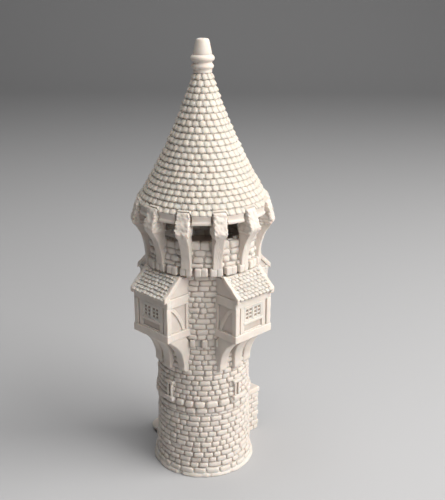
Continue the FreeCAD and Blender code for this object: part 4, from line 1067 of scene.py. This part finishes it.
def tile_rows(build, first, last, seed=5):
    rng = np.random.default_rng(seed)
    zs = np.linspace(Z0, Z1, 2000)
    rs = roof_r(zs)
    s = np.concatenate([[0], np.cumsum(np.hypot(np.diff(zs), np.diff(rs)))])
    rows = 22
    w = np.linspace(0.97, 1.04, rows) * rng.uniform(0.96, 1.04, rows)
    edge = np.concatenate([[0], np.cumsum(w)]) / w.sum() * s[-1]

    def surface(v, ang, lift):
        z = np.interp(v, s, zs)
        z = np.where(v < 0, Z0 + v * 0.9, z)
        rr = roof_r(z) + lift * NR
        zz = z + lift * NZ
        return rr, zz

    # each row lies on a plain sloping skirt a little below the faces of its tiles; the skirts carry openness 0.8, a
    # little painted shade under the rows
    ang = np.linspace(0, 2 * PI, 480, endpoint=False)
    for i in range(first, last):
        s0, s1 = edge[i] + 0.22, edge[i + 1] + 0.5
        prof = [(s0 + 0.12, -1.0), (s0 + 0.05, -0.10), (s0 + 0.24, 0.12), (s1, -0.48), (s1, -1.0)]
        grid = np.zeros((len(ang), len(prof), 3))
        for k, (v, lift) in enumerate(prof):
            rr, zz = surface(np.full(len(ang), v), ang, lift)
            if i == 0:
                zz = np.maximum(zz, notch_top(ang, rr) + 0.03 * k)
            grid[:, k] = np.stack([rr * np.cos(ang), rr * np.sin(ang), zz], -1)
        base = build.points(grid, 0.8)
        idx = base + np.arange(len(ang) * len(prof)).reshape(len(ang), len(prof))
        ww = np.concatenate([idx, idx[:1]], 0)
        ww = np.concatenate([ww, ww[:, :1]], 1)
        build.quads(np.stack([ww[:-1, :-1], ww[1:, :-1], ww[1:, 1:], ww[:-1, 1:]], -1).reshape(-1, 4))

    phase = 0.0
    for i in range(rows):
        rng = np.random.default_rng(seed * 100 + i)
        phase += 0.5 + rng.uniform(-0.2, 0.2)
        if i < first or i >= last:
            continue
        s0, pitch = edge[i], edge[i + 1] - edge[i]
        zc = np.interp(s0 + pitch * 0.4, s, zs)
        R = roof_r(zc) + 0.2
        count = max(10, int(round(2 * PI * R / 2.42)))
        e = (np.arange(count) + phase) * 2 * PI / count - PI / 2
        e = e + rng.uniform(-0.07, 0.07, count) * 2 * PI / count
        nxt = np.roll(e, -1).copy()
        nxt[-1] += 2 * PI
        ca, ha = 0.5 * (e + nxt), 0.5 * (nxt - e)
        hgt = pitch + 0.34
        lowv = s0 + rng.uniform(-0.12, 0.08, count)
        hv = np.full(count, 0.5 * hgt)
        cv = lowv + hv
        thick = rng.normal(1.02, 0.05, count)

        def mapper(u, v, height, cv=cv, hv=hv, big=R, i=i, pitch=pitch, lowv=lowv):
            ang = u / big
            low = lowv[:, None, None]
            top = (cv + hv)[:, None, None]
            if i < 2:
                rr0 = roof_r(np.interp(v, s, zs)) + 0.3
                need = (notch_top(ang, rr0) - 0.05 - Z0) / 0.905
                lo2 = np.maximum(low, need)
                v = np.where(lo2 > low, top - (top - v) * (top - np.minimum(lo2, top - 0.05)) / (top - low), v)
            t = (v - low) / pitch
            lift = -0.66 + height - 0.56 * np.clip(t, 0, 1.2)
            rr, zz = surface(v, ang, lift)
            return np.stack([rr * np.cos(ang), rr * np.sin(ang), zz], -1)
        # the tiles darken to openness 0.78 at their rims: light painted shade between tiles
        pillows(build, ca * R, cv, ha * R - 0.03, hv, thick, mapper, rng, r=0.46, rc=0.80, mids=(3, 2), tilt=0.06, rough=0.07, skew=0.06,
                crown=0.16, rside=0.40, floor=0.78)


b = Build()
tile_rows(b, 0, 8)
b.object("roof_tile_courses_low", "roof", ["roof_tiles"], CONE)
b = Build()
tile_rows(b, 8, 22)
# collar of mortar closing the top row, at openness 0.8: a little painted shade
lathe(b, [(0, 136.5), (2.75, 136.5), (2.6, 137.9), (2.45, 139.3), (0, 139.35)], count=64, cav=0.8)
b.object("roof_tile_courses_high", "roof", [], CONE)
carried("roof_shell", JOINT_PAINTED_SHADE, 0)

# fascia and bead between the notches
b = Build()
half_notch = math.degrees(math.asin(2.68 / 22.0))
prof = np.array([(20.1, 94.7), (21.2, 94.6), (21.95, 94.58), (22.25, 94.70), (22.36, 95.0), (22.34, 95.35), (22.2, 95.62), (22.0, 95.72), (21.93, 95.85),
                 (21.93, 96.3), (21.95, 96.9), (22.05, 97.15), (22.05, 97.7), (21.4, 98.1), (20.1, 98.1)])
for k in range(12):
    a0, a1 = 15.0 + 30.0 * k + half_notch, 15.0 + 30.0 * (k + 1) - half_notch
    steps = np.concatenate([[0, 0.008, 0.03], np.linspace(0.07, 0.93, 12), [0.97, 0.992, 1.0]])
    grid = np.zeros((len(steps), len(prof), 3))
    for i, t in enumerate(steps):
        a = math.radians(a0 + (a1 - a0) * t)
        m = min(t, 1 - t)
        pull = 0.30 * max(0.0, 1 - m / 0.03) ** 2
        drop = 0.5 * max(0.0, 1 - m / 0.07) ** 2
        r = prof[:, 0] - pull * (prof[:, 0] > 20.5)
        z = prof[:, 1] - drop * (prof[:, 1] > 97.0)
        grid[i] = np.stack([r * math.cos(a), r * math.sin(a), z], -1)
    grid = grid + (noise3(grid, 0.5, 77) * 0.04)[..., None]
    b.grid(grid, 1.0, wrap=True, flip=False, caps=False)
    base = b.n - grid.shape[0] * grid.shape[1]
    m = len(prof)
    b.face([base + i for i in range(m)][::-1])
    b.face([base + (len(steps) - 1) * m + i for i in range(m)])
b.object("eaves_fascia", "roof", ["eaves_ring"], SMOOTH)

b = Build()
low = spline([(2.2, 138.6), (2.35, 139.05), (2.9, 139.3), (3.06, 139.6), (3.04, 140.1), (3.16, 140.5), (3.48, 140.9), (3.62, 141.3), (3.52, 141.75), (3.2, 142.15),
              (3.04, 142.5), (3.2, 142.85), (3.66, 143.2), (3.88, 143.7), (3.78, 144.3), (3.36, 144.78), (3.1, 145.0)], 80)
lathe(b, [(0, 138.6)] + [tuple(x) for x in low] + [(0, 145.0)], count=96, wobble=0.003, seed=3)
b.object("finial_turned_collars", "roof", ["finial_collars"], SMOOTH)
b = Build()
up = spline([(2.95, 145.0), (3.0, 145.4), (2.85, 146.3), (2.6, 147.4), (2.35, 148.6), (2.12, 149.4), (1.85, 149.82), (1.4, 149.98)], 30)
lathe(b, [(0, 145.0)] + [tuple(x) for x in up] + [(0, 150.0)], count=96, wobble=0.004, seed=4)
b.object("finial_cone_plug", "roof", ["finial_plug"], SMOOTH)

# ------------------------------------------------------------------ studio
def stage_plane():
    n = 40
    ys = np.concatenate([np.linspace(-1.2, 0.9, 12), 0.9 + 0.5 * np.sin(np.linspace(0, PI / 2, 16))[1:], np.full(6, 1.4)])
    zs = np.concatenate([np.zeros(12), 0.5 - 0.5 * np.cos(np.linspace(0, PI / 2, 16))[1:], np.linspace(0.7, 2.0, 6)])
    xs = np.linspace(-2.0, 2.0, 9)
    v = [(x, y, z) for y, z in zip(ys, zs) for x in xs]
    f = [(i * 9 + j, i * 9 + j + 1, (i + 1) * 9 + j + 1, (i + 1) * 9 + j) for i in range(len(ys) - 1) for j in range(8)]
    mesh = bpy.data.meshes.new("studio_sweep")
    mesh.from_pydata(v, [], f)
    mesh.polygons.foreach_set("use_smooth", np.ones(len(mesh.polygons), dtype=bool))
    mat = bpy.data.materials.new("studio_paper")
    mat.use_nodes = True
    bs = mat.node_tree.nodes["Principled BSDF"]
    bs.inputs["Base Color"].default_value = (0.44, 0.44, 0.45, 1)
    bs.inputs["Roughness"].default_value = 0.9
    mesh.materials.append(mat)
    obj = bpy.data.objects.new("studio_sweep", mesh)
    bpy.context.scene.collection.objects.link(obj)


stage_plane()


def area(name, location, target, size, power, colour=(1, 1, 1)):
    light = bpy.data.lights.new(name, "AREA")
    light.shape = "RECTANGLE"
    light.size, light.size_y = size
    light.energy = power
    light.color = colour
    obj = bpy.data.objects.new(name, light)
    bpy.context.scene.collection.objects.link(obj)
    obj.location = location
    obj.rotation_euler = (Vector(target) - Vector(location)).to_track_quat("-Z", "Y").to_euler()
    return obj


area("key_right", (0.58, -0.20, 0.54), (0, 0, 0.075), (0.62, 0.62), 8.8, (1.0, 0.985, 0.955))
area("front_high", (0.16, -0.46, 0.72), (0, 0, 0.075), (0.45, 0.45), 0.9, (1.0, 0.99, 0.98))
area("front_right", (0.36, -0.54, 0.36), (0, 0, 0.075), (0.30, 0.30), 0.95, (1.0, 0.99, 0.97))
area("top_soft", (-0.06, 0.0, 0.78), (0, 0, 0.05), (0.5, 0.5), 2.4, (1.0, 0.99, 0.97))

world = bpy.data.worlds.new("studio_air")
bpy.context.scene.world = world
world.use_nodes = True
world.node_tree.nodes["Background"].inputs[0].default_value = (0.78, 0.80, 0.83, 1)
world.node_tree.nodes["Background"].inputs[1].default_value = 0.062

cam = bpy.data.cameras.new("camera")
cam.lens = 60.19
cam.sensor_width = 36.0
cam.clip_start = 0.01
cam_obj = bpy.data.objects.new("camera", cam)
bpy.context.scene.collection.objects.link(cam_obj)
cam_obj.matrix_world = (Matrix.Translation((0.00666, -0.27188, 0.17298)) @ Matrix.Rotation(math.radians(90.0 - 19.05), 4, "X")
                        @ Matrix.Rotation(math.radians(0.28), 4, "Z"))
bpy.context.scene.camera = cam_obj
bpy.context.scene.view_settings.view_transform = "Standard"
